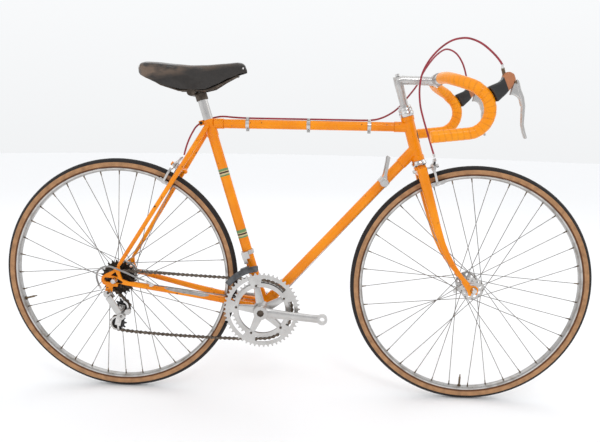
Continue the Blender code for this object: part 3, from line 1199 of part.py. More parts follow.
def make_rear_derailleur():
    outside = -(REAR_HUB_WIDTH / 2 + DROPOUT_THICKNESS) - GAP
    knuckle = cylinder("knuckle", HANGER + LEFT * outside, HANGER + LEFT * (outside - 0.0150), 0.0095, sides=20)
    bolt = cylinder("bolt", HANGER + LEFT * (outside + DROPOUT_THICKNESS), HANGER + LEFT * (outside - 0.0165), 0.0044,
                    sides=12)
    shoulder = block("shoulder", HANGER + LEFT * (outside - 0.0030) - UP * 0.006 + Vector((0.005, 0, 0)), LINK_AXIS,
                     LEFT, -LINK_DOWN, (0.0180, 0.0058, 0.0200))
    join(knuckle, bolt, shoulder)
    clear = block("clear", LINK_TOP, LINK_AXIS, LEFT, -LINK_DOWN, (0.05, 0.0110, 0.0142))
    cut(knuckle, clear)
    finish("rear_derailleur_body", knuckle, "polished_alloy")
    middle = (LINK_TOP + LINK_FOOT) / 2
    length = (LINK_FOOT - LINK_TOP).length + 0.0120
    link = block("link", middle, LINK_AXIS, LEFT, -LINK_DOWN, (LINK_WIDTH, 0.0060, length))
    soften(link, 0.0015)
    finish("rear_derailleur_link", link, "polished_alloy", LINK_TOP)
    pivot = Vector((CAGE_PIVOT[0], 0, CAGE_PIVOT[1]))
    lower = cylinder("lower", pivot + LEFT * CAGE_OUTER_FACE, pivot + LEFT * (CAGE_OUTER_FACE - 0.0170), 0.0098,
                     sides=20)
    spring_case = cylinder("spring_case", pivot + Vector((0.018, CAGE_OUTER_FACE - 0.004, 0.013)),
                           pivot + Vector((0.018, CAGE_OUTER_FACE - 0.0140, 0.013)), 0.0080, sides=16)
    arm = block("arm", pivot + Vector((0.009, CAGE_OUTER_FACE - 0.0080, 0.0065)), polar(36), LEFT, polar(126),
                (0.020, 0.0070, 0.010))
    join(lower, spring_case, arm)
    clear = block("clear", LINK_FOOT, LINK_AXIS, LEFT, -LINK_DOWN, (0.05, 0.0075, 0.0140))
    cut(lower, clear)
    finish("rear_derailleur_knuckle", lower, "polished_alloy", LINK_FOOT)


def make_cage():
    guide = Vector((GUIDE_PULLEY[0], 0, GUIDE_PULLEY[1]))
    tension = Vector((TENSION_PULLEY[0], 0, TENSION_PULLEY[1]))
    pivot = Vector((CAGE_PIVOT[0], 0, CAGE_PIVOT[1]))
    outer_side = SMALLEST_COG_SIDE - CAGE_HALF_WIDTH
    inner_side = SMALLEST_COG_SIDE + CAGE_HALF_WIDTH - CAGE_PLATE
    along = (guide - tension).normalized()
    across = Vector((-along.z, 0, along.x))
    length = (guide - tension).length
    outline = [tension + across * s * 0.0085 + along * t for s, t in ((-1, -0.007), (1, -0.007))]
    outline += [tension + across * 0.0085 + along * (length + 0.007)]
    outline += [tension - across * 0.0085 + along * (length + 0.007)]
    outer = prism("outer", outline, CAGE_PLATE, LEFT, LEFT * (outer_side + CAGE_PLATE / 2))
    boss = cylinder("boss", pivot + LEFT * (CAGE_OUTER_FACE + GAP), pivot + LEFT * (outer_side + CAGE_PLATE), 0.0090,
                    sides=16)
    inner = prism("inner", outline, CAGE_PLATE, LEFT, LEFT * (inner_side + CAGE_PLATE / 2))
    pins = [cylinder("pin", p + LEFT * outer_side, p + LEFT * (inner_side + CAGE_PLATE), 0.0030, sides=10)
            for p in (guide, tension)]
    join(outer, inner, boss, *pins)
    finish("rear_derailleur_cage", outer, "bright_chrome", pivot)
    bore = 0.0030 + GAP
    radius = pitch_radius(JOCKEY_TEETH) - CHAIN_HALF_HEIGHT - CHAIN_SEAT_GAP
    half = 0.0035
    for name, place in (("upper_jockey_wheel", guide), ("lower_jockey_wheel", tension)):
        centre = place + LEFT * SMALLEST_COG_SIDE
        wheel = revolve("wheel", centre, LEFT, [(-half, bore), (-half, radius), (half, radius), (half, bore)], 18)
        finish(name, wheel, "black_plastic", centre)


def make_front_derailleur():
    centre = BOTTOM_BRACKET + SEAT_UP * FRONT_DERAILLEUR_RISE
    radius = SEAT_TUBE_DIAMETER / 2 + GAP
    band = revolve("band", centre, SEAT_UP, [(-0.006, radius), (-0.006, radius + 0.0030), (0.006, radius + 0.0030),
                                             (0.006, radius)], 24)
    forward = Vector((SEAT_UP.z, 0, -SEAT_UP.x))
    body = block("body", centre + RIGHT * 0.0235 - forward * 0.004 - SEAT_UP * 0.004, forward, LEFT, SEAT_UP,
                 (0.020, 0.0140, 0.020))
    arm = block("arm", centre + RIGHT * 0.0260 - forward * 0.0080 - SEAT_UP * 0.0190, forward, LEFT, SEAT_UP,
                (0.010, 0.0080, 0.016))
    lug = block("lug", centre + LEFT * 0.0215, forward, LEFT, SEAT_UP, (0.0090, 0.0110, 0.010))
    cut_away = cylinder("cut_away", centre - SEAT_UP * 0.06, centre + SEAT_UP * 0.06, radius, sides=24)
    join(band, body, arm, lug)
    cut(band, cut_away)
    finish("front_derailleur_body", band, "polished_alloy")
    plates = []
    for side, inside, outside in ((OUTER_CAGE_SIDE, CAGE_INSIDE, CAGE_OUTSIDE),
                                  (INNER_CAGE_SIDE, CAGE_INSIDE, CAGE_OUTSIDE - 0.003)):
        angles = [96 + 47 * k / 8 for k in range(9)]
        outline = [polar(a, outside) for a in angles] + [polar(a, inside) for a in reversed(angles)]
        plates.append(prism("plate", outline, 0.0014, LEFT, BOTTOM_BRACKET + LEFT * side))
    tail = BOTTOM_BRACKET + polar(142.0, (CAGE_INSIDE + CAGE_OUTSIDE) / 2)
    tie = cylinder("tie", tail + LEFT * (OUTER_CAGE_SIDE - 0.0005), tail + LEFT * (INNER_CAGE_SIDE + 0.0005), 0.0026,
                   sides=10)
    lift = BOTTOM_BRACKET + polar(112.0, CAGE_OUTSIDE + 0.0005)
    top = block("top", lift + LEFT * (OUTER_CAGE_SIDE + INNER_CAGE_SIDE) / 2, polar(22), LEFT, polar(112),
                (0.026, INNER_CAGE_SIDE - OUTER_CAGE_SIDE + 0.0010, 0.0020))
    join(plates[0], plates[1], tie, top)
    finish("front_derailleur_cage", plates[0], "dark_steel", BOTTOM_BRACKET)


def make_shifters():
    radius = DOWN_TUBE_DIAMETER / 2 + GAP
    band = revolve("band", SHIFTER_BOSS, DOWN_UP, [(-0.008, radius), (-0.008, radius + 0.0016),
                                                   (0.008, radius + 0.0016), (0.008, radius)], 18)
    posts = [cylinder("post", SHIFTER_BOSS + LEFT * s * (radius + 0.0008), SHIFTER_BOSS + LEFT * s * 0.0310, 0.0030,
                      sides=12) for s in (-1, 1)]
    faces = [cylinder("face", SHIFTER_BOSS + LEFT * s * (radius + 0.0008), SHIFTER_BOSS + LEFT * s * 0.0190, 0.0100,
                      sides=14) for s in (-1, 1)]
    heads = [cylinder("head", SHIFTER_BOSS + LEFT * s * 0.0285, SHIFTER_BOSS + LEFT * s * 0.0330, 0.0070,
                      sides=12) for s in (-1, 1)]
    join(band, *posts, *faces, *heads)
    finish("shifter_clamp", band, "polished_alloy")
    for name, side in (("shift_lever_right", -1), ("shift_lever_left", 1)):
        low = SHIFTER_BOSS + LEFT * side * (0.0190 + GAP)
        high = SHIFTER_BOSS + LEFT * side * (0.0285 - GAP)
        hub = cylinder("hub", low, high, 0.0115, sides=20)
        up = polar(81.5)
        front = polar(-8.5)
        outline = [front * a + up * b for a, b in ((0.0085, 0.0), (0.0040, 0.022), (0.0034, 0.055), (0.0040, 0.068),
                                                   (0.0, 0.0715), (-0.0040, 0.068), (-0.0034, 0.055),
                                                   (-0.0040, 0.022), (-0.0085, 0.0))]
        blade = prism("blade", outline, 0.0040, LEFT, low.lerp(high, 0.55))
        join(hub, blade)
        cut(hub, cylinder("hole", SHIFTER_BOSS, SHIFTER_BOSS + LEFT * side * 0.05, 0.0030 + GAP, sides=12))
        finish(name, hub, "polished_alloy", SHIFTER_BOSS)


# ---- Cords ----


def make_cords():
    front = cord("front_brake_cable", FRONT_CABLE, HOUSING_DIAMETER)
    finish("front_brake_cable", front, "red_housing")
    rear = cord("rear_brake_cable", REAR_CABLE, HOUSING_DIAMETER, step=4.4)
    finish("rear_brake_cable", rear, "red_housing")
    gear = cord("derailleur_housing", GEAR_HOUSING, HOUSING_DIAMETER)
    finish("derailleur_housing", gear, "grey_housing")


FRONT_CABLE = ((0.4905, -0.1985, 0.9060), (0.4895, -0.1950, 0.9170), (0.4752, -0.1800, 0.9398),
               (0.4513, -0.1600, 0.9652), (0.4286, -0.1400, 0.9795), (0.4101, -0.1200, 0.9842),
               (0.3870, -0.1000, 0.9800), (0.3632, -0.0800, 0.9635), (0.3411, -0.0650, 0.9367),
               (0.3265, -0.0520, 0.9040), (0.3225, -0.0450, 0.8663), (0.3270, -0.0410, 0.8250),
               (0.3370, -0.0395, 0.7900), (0.3500, -0.0400, 0.7520), (0.3625, -0.0410, 0.7150),
               (0.3712, -0.0420, 0.6910))
REAR_CABLE = ((0.4905, 0.1985, 0.9060), (0.4900, 0.1950, 0.9170), (0.4748, 0.1850, 0.9545),
              (0.4495, 0.1650, 0.9813), (0.4183, 0.1450, 0.9895), (0.3899, 0.1250, 0.9725),
              (0.3665, 0.1080, 0.9458), (0.3467, 0.0920, 0.9155), (0.3306, 0.0780, 0.8828),
              (0.3030, 0.0580, 0.8473), (0.2820, 0.0400, 0.8230), (0.2592, 0.0240, 0.8050),
              (0.2300, 0.0100, 0.7905), (0.1980, 0.0020, 0.7845), (0.1200, 0.0, 0.7840),
              (0.0340, 0.0, 0.7840), (-0.0600, 0.0, 0.7840), (-0.1320, 0.0010, 0.7842),
              (-0.1700, 0.0080, 0.7855), (-0.2040, 0.0185, 0.7875), (-0.2290, 0.0280, 0.7840),
              (-0.2560, 0.0335, 0.7760), (-0.2808, 0.0360, 0.7601), (-0.2933, 0.0385, 0.7432),
              (-0.3037, 0.0405, 0.7243), (-0.3130, 0.0422, 0.7017), (-0.3198, 0.0430, 0.6785))
GEAR_HOUSING = ((-0.4000, -0.0700, 0.3350), (-0.4311, -0.0720, 0.3466), (-0.4557, -0.0725, 0.3576),
                (-0.4838, -0.0740, 0.3693), (-0.4979, -0.0740, 0.3743), (-0.5103, -0.0740, 0.3754),
                (-0.5247, -0.0735, 0.3717), (-0.5349, -0.0730, 0.3632), (-0.5398, -0.0730, 0.3532),
                (-0.5403, -0.0730, 0.3404), (-0.5356, -0.0735, 0.3242), (-0.5300, -0.0740, 0.3118))


def main():
    for old in list(bpy.data.objects):
        bpy.data.objects.remove(old)
    make_head_tube()
    make_main_tubes()
    make_seat_tube()
    make_bottom_bracket_shell()
    make_chain_stay("chain_stay_right", -1)
    make_chain_stay("chain_stay_left", 1)
    make_seat_stays()
    make_headset()
    make_seatpost()
    make_saddle()
    make_saddle_frame()
    make_fork()
    make_stem()
    make_handlebar()
    make_brake_hoods()
    make_brake_levers()
    make_brakes()
    make_wheels()
    make_axle("rear_axle", REAR_HUB, REAR_HUB_WIDTH, DROPOUT_THICKNESS)
    make_axle("front_axle", FRONT_HUB, FRONT_HUB_WIDTH, FORK_END_THICKNESS)
    make_quick_release("rear_quick_release_lever", REAR_HUB, REAR_HUB_WIDTH, DROPOUT_THICKNESS, REAR_QR_ANGLE)
    make_quick_release("front_quick_release_lever", FRONT_HUB, FRONT_HUB_WIDTH, FORK_END_THICKNESS, FRONT_QR_ANGLE)
    make_chainrings()
    make_cranks()
    make_freewheel()
    make_chain()
    make_rear_derailleur()
    make_cage()
    make_front_derailleur()
    make_shifters()
    make_cords()


main()
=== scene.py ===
import json
import math

import bmesh
import bpy
from mathutils import Matrix, Vector

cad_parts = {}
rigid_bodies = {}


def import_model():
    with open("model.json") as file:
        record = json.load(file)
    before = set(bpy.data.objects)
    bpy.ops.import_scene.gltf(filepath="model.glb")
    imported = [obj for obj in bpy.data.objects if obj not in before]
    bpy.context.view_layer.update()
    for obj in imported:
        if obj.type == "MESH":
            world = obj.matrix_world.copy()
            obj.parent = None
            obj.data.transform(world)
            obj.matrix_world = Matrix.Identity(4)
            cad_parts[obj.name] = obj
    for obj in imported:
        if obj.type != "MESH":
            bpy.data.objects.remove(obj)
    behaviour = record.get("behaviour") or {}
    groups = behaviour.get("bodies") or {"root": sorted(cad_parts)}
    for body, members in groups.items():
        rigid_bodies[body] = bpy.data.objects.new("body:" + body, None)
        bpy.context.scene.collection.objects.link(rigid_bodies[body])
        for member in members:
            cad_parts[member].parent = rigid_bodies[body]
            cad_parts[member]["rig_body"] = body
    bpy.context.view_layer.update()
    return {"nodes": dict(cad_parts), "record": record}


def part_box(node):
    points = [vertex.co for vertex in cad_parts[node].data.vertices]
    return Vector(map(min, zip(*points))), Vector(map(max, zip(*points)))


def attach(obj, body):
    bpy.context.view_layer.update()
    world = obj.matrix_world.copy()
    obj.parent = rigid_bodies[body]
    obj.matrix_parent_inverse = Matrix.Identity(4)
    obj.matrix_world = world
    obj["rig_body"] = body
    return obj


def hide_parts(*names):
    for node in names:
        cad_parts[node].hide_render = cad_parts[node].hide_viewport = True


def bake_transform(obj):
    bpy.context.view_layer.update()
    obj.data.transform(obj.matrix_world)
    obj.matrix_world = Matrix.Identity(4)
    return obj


for old in list(bpy.data.objects):
    bpy.data.objects.remove(old)
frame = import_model()

RECORD = frame["record"]
BODY_OF = {node: body for body, nodes in RECORD["behaviour"]["bodies"].items() for node in nodes}
UP = Vector((0, 0, 1))
LEFT = Vector((0, 1, 0))
RIGHT = Vector((0, -1, 0))

# ---- Sizes of the bicycle, in metres and degrees ----
WHEELBASE = 0.9876
WHEEL_RADIUS = 0.334
RIM_INNER_RADIUS = 0.2995
RIM_OUTER_RADIUS = 0.3078
RIM_HALF_WIDTH = 0.010
TYRE_HALF_WIDTH = 0.0134
TYRE_WIDEST_RADIUS = 0.3215
SPOKE_RADIUS = 0.0010
HOLE_RADIUS = 0.0290
FLANGE_RADIUS = 0.032
FLANGE_THICKNESS = 0.0035
REAR_FLANGES = (-0.0215, 0.0345)
FRONT_FLANGES = (-0.0350, 0.0350)
NIPPLE_LENGTH = 0.011
VALVE_ANGLE = 195.3
CHAIN_STAY_LENGTH = 0.416
BOTTOM_BRACKET_DROP = 0.0775
SEAT_ANGLE = 73.4
HEAD_ANGLE = 73.0
SEAT_TUBE_LENGTH = 0.544
TOP_TUBE_DROP = 0.0102
DOWN_TUBE_RISE = 0.0315
HEAD_TUBE_LENGTH = 0.121
HEADSET_LOWER_STACK = 0.016
TOP_TUBE_RADIUS = 0.0127
HEAD_TUBE_RADIUS = 0.0159
FORK_LENGTH = 0.3614
FORK_RAKE = 0.0517
STEM_RISE = 0.2375
STEM_REACH = 0.1052
STEM_CLIMB = 0.0012
BAR_WIDTH = 0.394
BAR_RADIUS = 0.0120
TAPE_RADIUS = 0.0145
TAPE_START = 0.062
TAPE_PITCH = 0.0145              # between two turns of the bar tape
HOOK_DEPTH = 0.0515
HOOK_HEIGHT = 0.0539
HOOK_FORWARD = 0.0435
HOOK_DOWN = 0.0831
RAMP_ANGLE = 58.0
HOOK_END_ANGLE = -83.2
BAR_BEND = ((0.0068, 0.095, -0.0018), (0.0195, 0.056, -0.0087), (0.0387, 0.027, -0.0175), (0.0585, 0.009, -0.0270))
DROP_LENGTH = 0.090
PITCH = 0.0127
OUTER_TEETH = 52
INNER_TEETH = 42
COG_TEETH = (13, 15, 17, 20, 24)
COG_SPACING = 0.0055
SMALLEST_COG_SIDE = -0.0520
JOCKEY_TEETH = 10
INNER_RING_SIDE = -0.0412
OUTER_RING_SIDE = -0.0482
RING_THICKNESS = 0.0025
RING_INNER_RADIUS = 0.0665
BOLT_CIRCLE_RADIUS = 0.072
BOLT_ANGLE = 30.3
GUIDE_PULLEY = (-0.4778, 0.2560)
TENSION_PULLEY = (-0.4904, 0.2088)
CHAIN_SAG = 0.0070
SHIFTER_DISTANCE = 0.489
HOUSING_RADIUS = 0.0025
FRONT_BRAKE_FORWARD = 0.0283
FRONT_BRAKE_DROP = 0.0120
FRONT_PAD_DROP = 0.0460
REAR_BRAKE_BACK = 0.0137
REAR_PAD_DROP = 0.0518
ARM_THICKNESS = 0.0060


def polar(angle, radius=1.0):
    return Vector((radius * math.cos(math.radians(angle)), 0, radius * math.sin(math.radians(angle))))


SEAT_UP = polar(180 - SEAT_ANGLE)
HEAD_UP = polar(180 - HEAD_ANGLE)
HEAD_FORWARD = polar(90 - HEAD_ANGLE)
REAR_HUB = Vector((-WHEELBASE / 2, 0, WHEEL_RADIUS))
FRONT_HUB = Vector((WHEELBASE / 2, 0, WHEEL_RADIUS))
BOTTOM_BRACKET = REAR_HUB + Vector((math.sqrt(CHAIN_STAY_LENGTH**2 - BOTTOM_BRACKET_DROP**2), 0, -BOTTOM_BRACKET_DROP))
CROWN_RACE = FRONT_HUB - HEAD_FORWARD * FORK_RAKE + HEAD_UP * FORK_LENGTH
SEAT_TOP = BOTTOM_BRACKET + SEAT_UP * SEAT_TUBE_LENGTH


def steer(up, forward=0.0, side=0.0):
    """A point from the crown race, along the steering axis, ahead of it and to the left."""
    return CROWN_RACE + HEAD_UP * up + HEAD_FORWARD * forward + LEFT * side


HEAD_FOOT = steer(HEADSET_LOWER_STACK)
DOWN_UP = (steer(HEADSET_LOWER_STACK + DOWN_TUBE_RISE) - BOTTOM_BRACKET).normalized()
DOWN_NORMAL = Vector((-DOWN_UP.z, 0, DOWN_UP.x))
TOP_TUBE_HEIGHT = (SEAT_TOP - SEAT_UP * TOP_TUBE_DROP).z
SHIFTER_BOSS = BOTTOM_BRACKET + DOWN_UP * SHIFTER_DISTANCE
BAR_CLAMP = steer(STEM_RISE) + Vector((STEM_REACH, 0, STEM_CLIMB))
BACK = Vector((-SEAT_UP.z, 0, SEAT_UP.x))


# ---- Finishes ----


class Finish:
    """A node material while it is being built."""

    def __init__(self, name, roughness, metallic=0.0, coat=0.0, level=0.5):
        self.material = bpy.data.materials.new(name)
        self.material.use_nodes = True
        self.tree = self.material.node_tree
        self.shader = self.tree.nodes["Principled BSDF"]
        self.shader.inputs["Roughness"].default_value = roughness
        self.shader.inputs["Metallic"].default_value = metallic
        self.shader.inputs["Coat Weight"].default_value = coat
        self.shader.inputs["Coat Roughness"].default_value = 0.08
        self.shader.inputs["Specular IOR Level"].default_value = level
        self.place = self.node("ShaderNodeTexCoord").outputs["Object"]

    def node(self, kind, inputs=None, **settings):
        made = self.tree.nodes.new(kind)
        for key, value in settings.items():
            setattr(made, key, value)
        for key, value in (inputs or {}).items():
            if isinstance(value, bpy.types.NodeSocket):
                self.tree.links.new(value, made.inputs[key])
            else:
                made.inputs[key].default_value = value
        return made

    def noise(self, scale, detail=4.0, place=None, stretch=None):
        source = place or self.place
        if stretch:
            source = self.node("ShaderNodeMapping", {"Vector": source, "Scale": stretch}).outputs[0]
        return self.node("ShaderNodeTexNoise", {"Vector": source, "Scale": scale, "Detail": detail}).outputs[0]

    def math(self, operation, one, other=0.0):
        return self.node("ShaderNodeMath", {0: one, 1: other}, operation=operation).outputs[0]

    def limits(self, value, low, high, to_low=0.0, to_high=1.0):
        spread = {"Value": value, "From Min": low, "From Max": high, "To Min": to_low, "To Max": to_high}
        return self.node("ShaderNodeMapRange", spread).outputs[0]

    def mix(self, share, one, other):
        return self.node("ShaderNodeMix", {0: share, 6: one, 7: other}, data_type="RGBA").outputs[2]

    def bands(self, value, stops, smooth=False):
        """Colours by a value from 0 to 1, as (place, colour) pairs."""
        made = self.node("ShaderNodeValToRGB", {"Fac": value})
        made.color_ramp.interpolation = "LINEAR" if smooth else "CONSTANT"
        while len(made.color_ramp.elements) < len(stops):
            made.color_ramp.elements.new(0.5)
        for element, (place, colour) in zip(made.color_ramp.elements, stops):
            element.position = place
            element.color = (*colour, 1)
        return made.outputs[0]

    def distance_from(self, centre):
        """The distance from an axis through a centre, to the rider's left."""
        apart = self.node("ShaderNodeVectorMath", {0: self.place, 1: centre}, operation="SUBTRACT").outputs[0]
        flat = self.node("ShaderNodeVectorMath", {0: apart, 1: (1, 0, 1)}, operation="MULTIPLY").outputs[0]
        return self.node("ShaderNodeVectorMath", {0: flat}, operation="LENGTH").outputs["Value"]

    def along(self, start, direction):
        """The distance along a direction from a start."""
        apart = self.node("ShaderNodeVectorMath", {0: self.place, 1: start}, operation="SUBTRACT").outputs[0]
        return self.node("ShaderNodeVectorMath", {0: apart, 1: direction}, operation="DOT_PRODUCT").outputs["Value"]

    def colour(self, socket):
        self.tree.links.new(socket, self.shader.inputs["Base Color"])

    def roughness(self, socket):
        self.tree.links.new(socket, self.shader.inputs["Roughness"])

    def relief(self, height, distance, strength=1.0):
        bump = self.node("ShaderNodeBump", {"Strength": strength, "Distance": distance, "Height": height})
        self.tree.links.new(bump.outputs[0], self.shader.inputs["Normal"])


def rgb(*colour):
    return (*colour, 1)


ORANGE = (0.93, 0.300, 0.0020)
ORANGE_DEEP = (0.78, 0.205, 0.0015)
CHIP = (0.060, 0.022, 0.010)


def worn_metal(name, light, dark, roughness, metallic=1.0, patch=60.0, scratch=0.00002):
    """Metal with dull patches, faint scratches and a little grime."""
    finish = Finish(name, roughness, metallic)
    cloud = finish.limits(finish.noise(patch, 5.0), 0.35, 0.70)
    finish.colour(finish.mix(cloud, rgb(*light), rgb(*dark)))
    fine = finish.noise(900.0, 2.0, stretch=(1.0, 0.35, 1.0))
    finish.roughness(finish.limits(fine, 0.3, 0.7, roughness * 0.8, min(1.0, roughness * 1.5)))
    finish.relief(fine, scratch)
    return finish.material


def enamel(name, chips=0.70, bands=False):
    """Glossy orange enamel, a little uneven, with chips down to a dark brown."""
    finish = Finish(name, 0.22, 0.0, 0.30, 0.15)
    cloud = finish.limits(finish.noise(9.0, 4.0), 0.35, 0.70)
    paint = finish.mix(cloud, rgb(*ORANGE), rgb(*ORANGE_DEEP))
    if bands:
        share = finish.limits(finish.along(BOTTOM_BRACKET, SEAT_UP), 0.0, SEAT_TUBE_LENGTH)
        stripes = [(0.0, (0, 0, 0))]
        for low, high in ((0.376, 0.418), (0.706, 0.745)):
            stripes += [(low, (1, 1, 1)), (high, (0, 0, 0))]
        mask = finish.bands(share, stripes)
        green, cream, dark = (0.15, 0.27, 0.11), (0.58, 0.48, 0.26), (0.05, 0.02, 0.015)
        inks = [(0.0, green), (0.386, cream), (0.391, dark), (0.399, cream), (0.404, green), (0.714, cream),
                (0.719, dark), (0.727, cream), (0.732, green)]
        paint = finish.mix(mask, paint, finish.bands(share, inks))
    chip = finish.limits(finish.noise(130.0, 5.0), chips, chips + 0.02)
    finish.colour(finish.mix(chip, paint, rgb(*CHIP)))
    finish.roughness(finish.limits(finish.noise(45.0, 3.0), 0.3, 0.8, 0.16, 0.34))
    finish.relief(finish.noise(220.0, 2.0), 0.00006)
    return finish.material


def tyre_finish(name, hub):
    """Black tread, a tan stripe and a brown sidewall, by the distance from the hub."""
    finish = Finish(name, 0.75, 0.0, 0.0, 0.3)
    distance = finish.distance_from(hub)
    share = finish.limits(distance, RIM_OUTER_RADIUS, WHEEL_RADIUS)
    black, brown, tan = (0.014, 0.013, 0.013), (0.140, 0.055, 0.022), (0.47, 0.25, 0.12)
    rings = finish.bands(share, [(0.0, brown), (0.16, tan), (0.60, black)])
    grime = finish.limits(finish.noise(60.0, 5.0), 0.35, 0.75)
    darker = finish.mix(share, rgb(0.07, 0.028, 0.014), rgb(0.035, 0.030, 0.027))
    finish.colour(finish.mix(finish.math("MULTIPLY", grime, 0.45), rings, darker))
    ribs = finish.math("SINE", finish.math("MULTIPLY", finish.along((0, 0, 0), (0, 1, 0)), 3200.0))
    weave = finish.noise(1400.0, 2.0)
    finish.relief(finish.math("ADD", finish.math("MULTIPLY", ribs, 0.5), weave), 0.00012)
    return finish.material


def rim_finish(name, hub):
    """Aluminium with a duller braking band and streaks that run round the wheel."""
    finish = Finish(name, 0.30, 1.0)
    share = finish.limits(finish.distance_from(hub), RIM_INNER_RADIUS, RIM_OUTER_RADIUS)
    band = finish.bands(share, [(0.0, (0.42, 0.41, 0.40)), (0.46, (0.36, 0.35, 0.34)), (0.56, (0.66, 0.64, 0.62)),
                                (0.93, (0.58, 0.55, 0.52)), (0.99, (0.25, 0.19, 0.15))], smooth=True)
    dirt = finish.limits(finish.noise(35.0, 6.0), 0.45, 0.80)
    finish.colour(finish.mix(dirt, band, rgb(0.24, 0.21, 0.18)))
    rings = finish.node("ShaderNodeTexNoise", {"Vector": finish.place, "Scale": 300.0, "Detail": 3.0}).outputs[0]
    finish.roughness(finish.limits(rings, 0.3, 0.7, 0.24, 0.46))
    finish.relief(rings, 0.00003)
    return finish.material


def leather(name):
    """Black saddle leather with a pebbled grain, scuffed brown along its edges."""
    finish = Finish(name, 0.50, 0.0, 0.12, 0.45)
    cells = finish.node("ShaderNodeTexVoronoi", {"Vector": finish.place, "Scale": 520.0}).outputs["Distance"]
    scuff = finish.limits(finish.noise(26.0, 9.0, stretch=(0.6, 1.0, 1.3)), 0.43, 0.58)
    edge = finish.limits(finish.along((0, 0, 0), (-0.20, 0, 1)), 0.950, 0.972, 0.0, 0.85)
    share = finish.math("MULTIPLY", scuff, edge)
    ink = finish.mix(finish.noise(90.0, 4.0), rgb(0.013, 0.011, 0.010), rgb(0.030, 0.024, 0.020))
    finish.colour(finish.mix(share, ink, rgb(0.175, 0.120, 0.085)))
    finish.roughness(finish.limits(scuff, 0.0, 1.0, 0.40, 0.72))
    creases = finish.noise(70.0, 7.0, stretch=(0.5, 1.4, 1.0))
    finish.relief(finish.math("ADD", finish.math("MULTIPLY", cells, 0.35), creases), 0.00045)
    return finish.material


def plain(name, light, dark, roughness, coat=0.0, grain=500.0, relief=0.00008, patch=50.0):
    """Rubber, plastic or a painted housing: two close colours and a fine grain."""
    finish = Finish(name, roughness, 0.0, coat)
    cloud = finish.limits(finish.noise(patch, 5.0), 0.35, 0.70)
    finish.colour(finish.mix(cloud, rgb(*light), rgb(*dark)))
    fine = finish.noise(grain, 3.0)
    finish.roughness(finish.limits(fine, 0.3, 0.7, roughness * 0.85, min(1.0, roughness * 1.2)))
    finish.relief(fine, relief)
    return finish.material


def tape_finish(name):
    """Shiny cloth-backed tape with painted shade darkening the folds between turns, and rubbed in places."""
    finish = Finish(name, 0.34, 0.0, 0.10, 0.25)
    fold_shade_weight = finish.node("ShaderNodeAttribute", attribute_name="fold_shade").outputs["Fac"]
    bright = finish.mix(finish.noise(30.0, 5.0), rgb(0.97, 0.36, 0.0030), rgb(0.88, 0.245, 0.0020))
    rubbed = finish.limits(finish.noise(60.0, 6.0), 0.68, 0.76)
    rubbed_colour = finish.mix(finish.math("MULTIPLY", rubbed, 0.6), bright, rgb(0.30, 0.10, 0.03))
    # Painted shade: each fold between turns is darkened towards a deep brown-orange.
    finish.colour(finish.mix(finish.math("MULTIPLY", fold_shade_weight, 0.38), rubbed_colour, rgb(0.34, 0.085, 0.010)))
    finish.relief(finish.noise(260.0, 4.0), 0.00025)
    return finish.material


FINISHES = {
    "orange_enamel": enamel("enamel"),
    "polished_alloy": worn_metal("polished_alloy", (0.60, 0.59, 0.575), (0.49, 0.475, 0.46), 0.27, patch=22.0),
    "bright_chrome": worn_metal("bright_chrome", (0.70, 0.69, 0.68), (0.45, 0.43, 0.41), 0.14),
    "dark_steel": worn_metal("dark_steel", (0.13, 0.105, 0.085), (0.045, 0.035, 0.028), 0.42),
    "tyre_rubber": plain("tyre_rubber", (0.02, 0.02, 0.02), (0.03, 0.03, 0.03), 0.8),
    "black_plastic": plain("black_plastic", (0.014, 0.014, 0.015), (0.030, 0.028, 0.026), 0.42),
    "black_leather": leather("saddle_leather"),
    "orange_tape": tape_finish("bar_tape"),
    "gum_rubber": plain("gum_rubber", (0.27, 0.105, 0.045), (0.13, 0.050, 0.024), 0.60),
    "red_housing": plain("red_housing", (0.33, 0.016, 0.036), (0.22, 0.010, 0.022), 0.34, 0.1),
    "grey_housing": plain("grey_housing", (0.30, 0.29, 0.28), (0.19, 0.18, 0.17), 0.42),
}
BANDED_ENAMEL = enamel("banded_enamel", bands=True)
CHIPPED_ENAMEL = enamel("chipped_enamel", chips=0.655)
BRASS = worn_metal("brass", (0.20, 0.145, 0.095), (0.10, 0.075, 0.055), 0.36)
SPOKE_STEEL = worn_metal("spoke_steel", (0.30, 0.285, 0.27), (0.17, 0.155, 0.14), 0.38)
PAD_RUBBER = plain("pad_rubber", (0.050, 0.018, 0.012), (0.022, 0.010, 0.008), 0.75)
CHAIN_STEEL = worn_metal("chain_steel", (0.20, 0.165, 0.135), (0.060, 0.043, 0.032), 0.40, patch=180.0)
COG_STEEL = worn_metal("cog_steel", (0.080, 0.065, 0.052), (0.022, 0.017, 0.014), 0.45, patch=120.0)
GUARD_ALLOY = worn_metal("stay_guard", (0.42, 0.42, 0.41), (0.28, 0.27, 0.26), 0.38, 0.8)
CAGE_STEEL = worn_metal("cage_steel", (0.135, 0.140, 0.145), (0.060, 0.060, 0.062), 0.30)
BADGE = worn_metal("badge", (0.10, 0.085, 0.06), (0.045, 0.035, 0.030), 0.40, 0.5)


# ---- Shapes ----


def turn_to(direction):
    return UP.rotation_difference(direction.normalized()).to_matrix().to_4x4()


def add_turned(bm, centre, axis, profile, steps=48):
    """A closed profile of (along, radius) points spun about an axis."""
    place = Matrix.Translation(centre) @ turn_to(axis)
    points = [bm.verts.new(place @ Vector((radius, 0, along))) for along, radius in profile]
    edges = [bm.edges.new(pair) for pair in zip(points, points[1:] + points[:1])]
    bmesh.ops.spin(bm, geom=points + edges, cent=centre, axis=axis, angle=2 * math.pi, steps=steps, use_merge=True)


def add_bar(bm, start, end, radius, end_radius=None, sides=16):
    place = Matrix.Translation((start + end) / 2) @ turn_to(end - start)
    bmesh.ops.create_cone(bm, cap_ends=True, segments=sides, radius1=radius,
                          radius2=radius if end_radius is None else end_radius, depth=(end - start).length,
                          matrix=place)


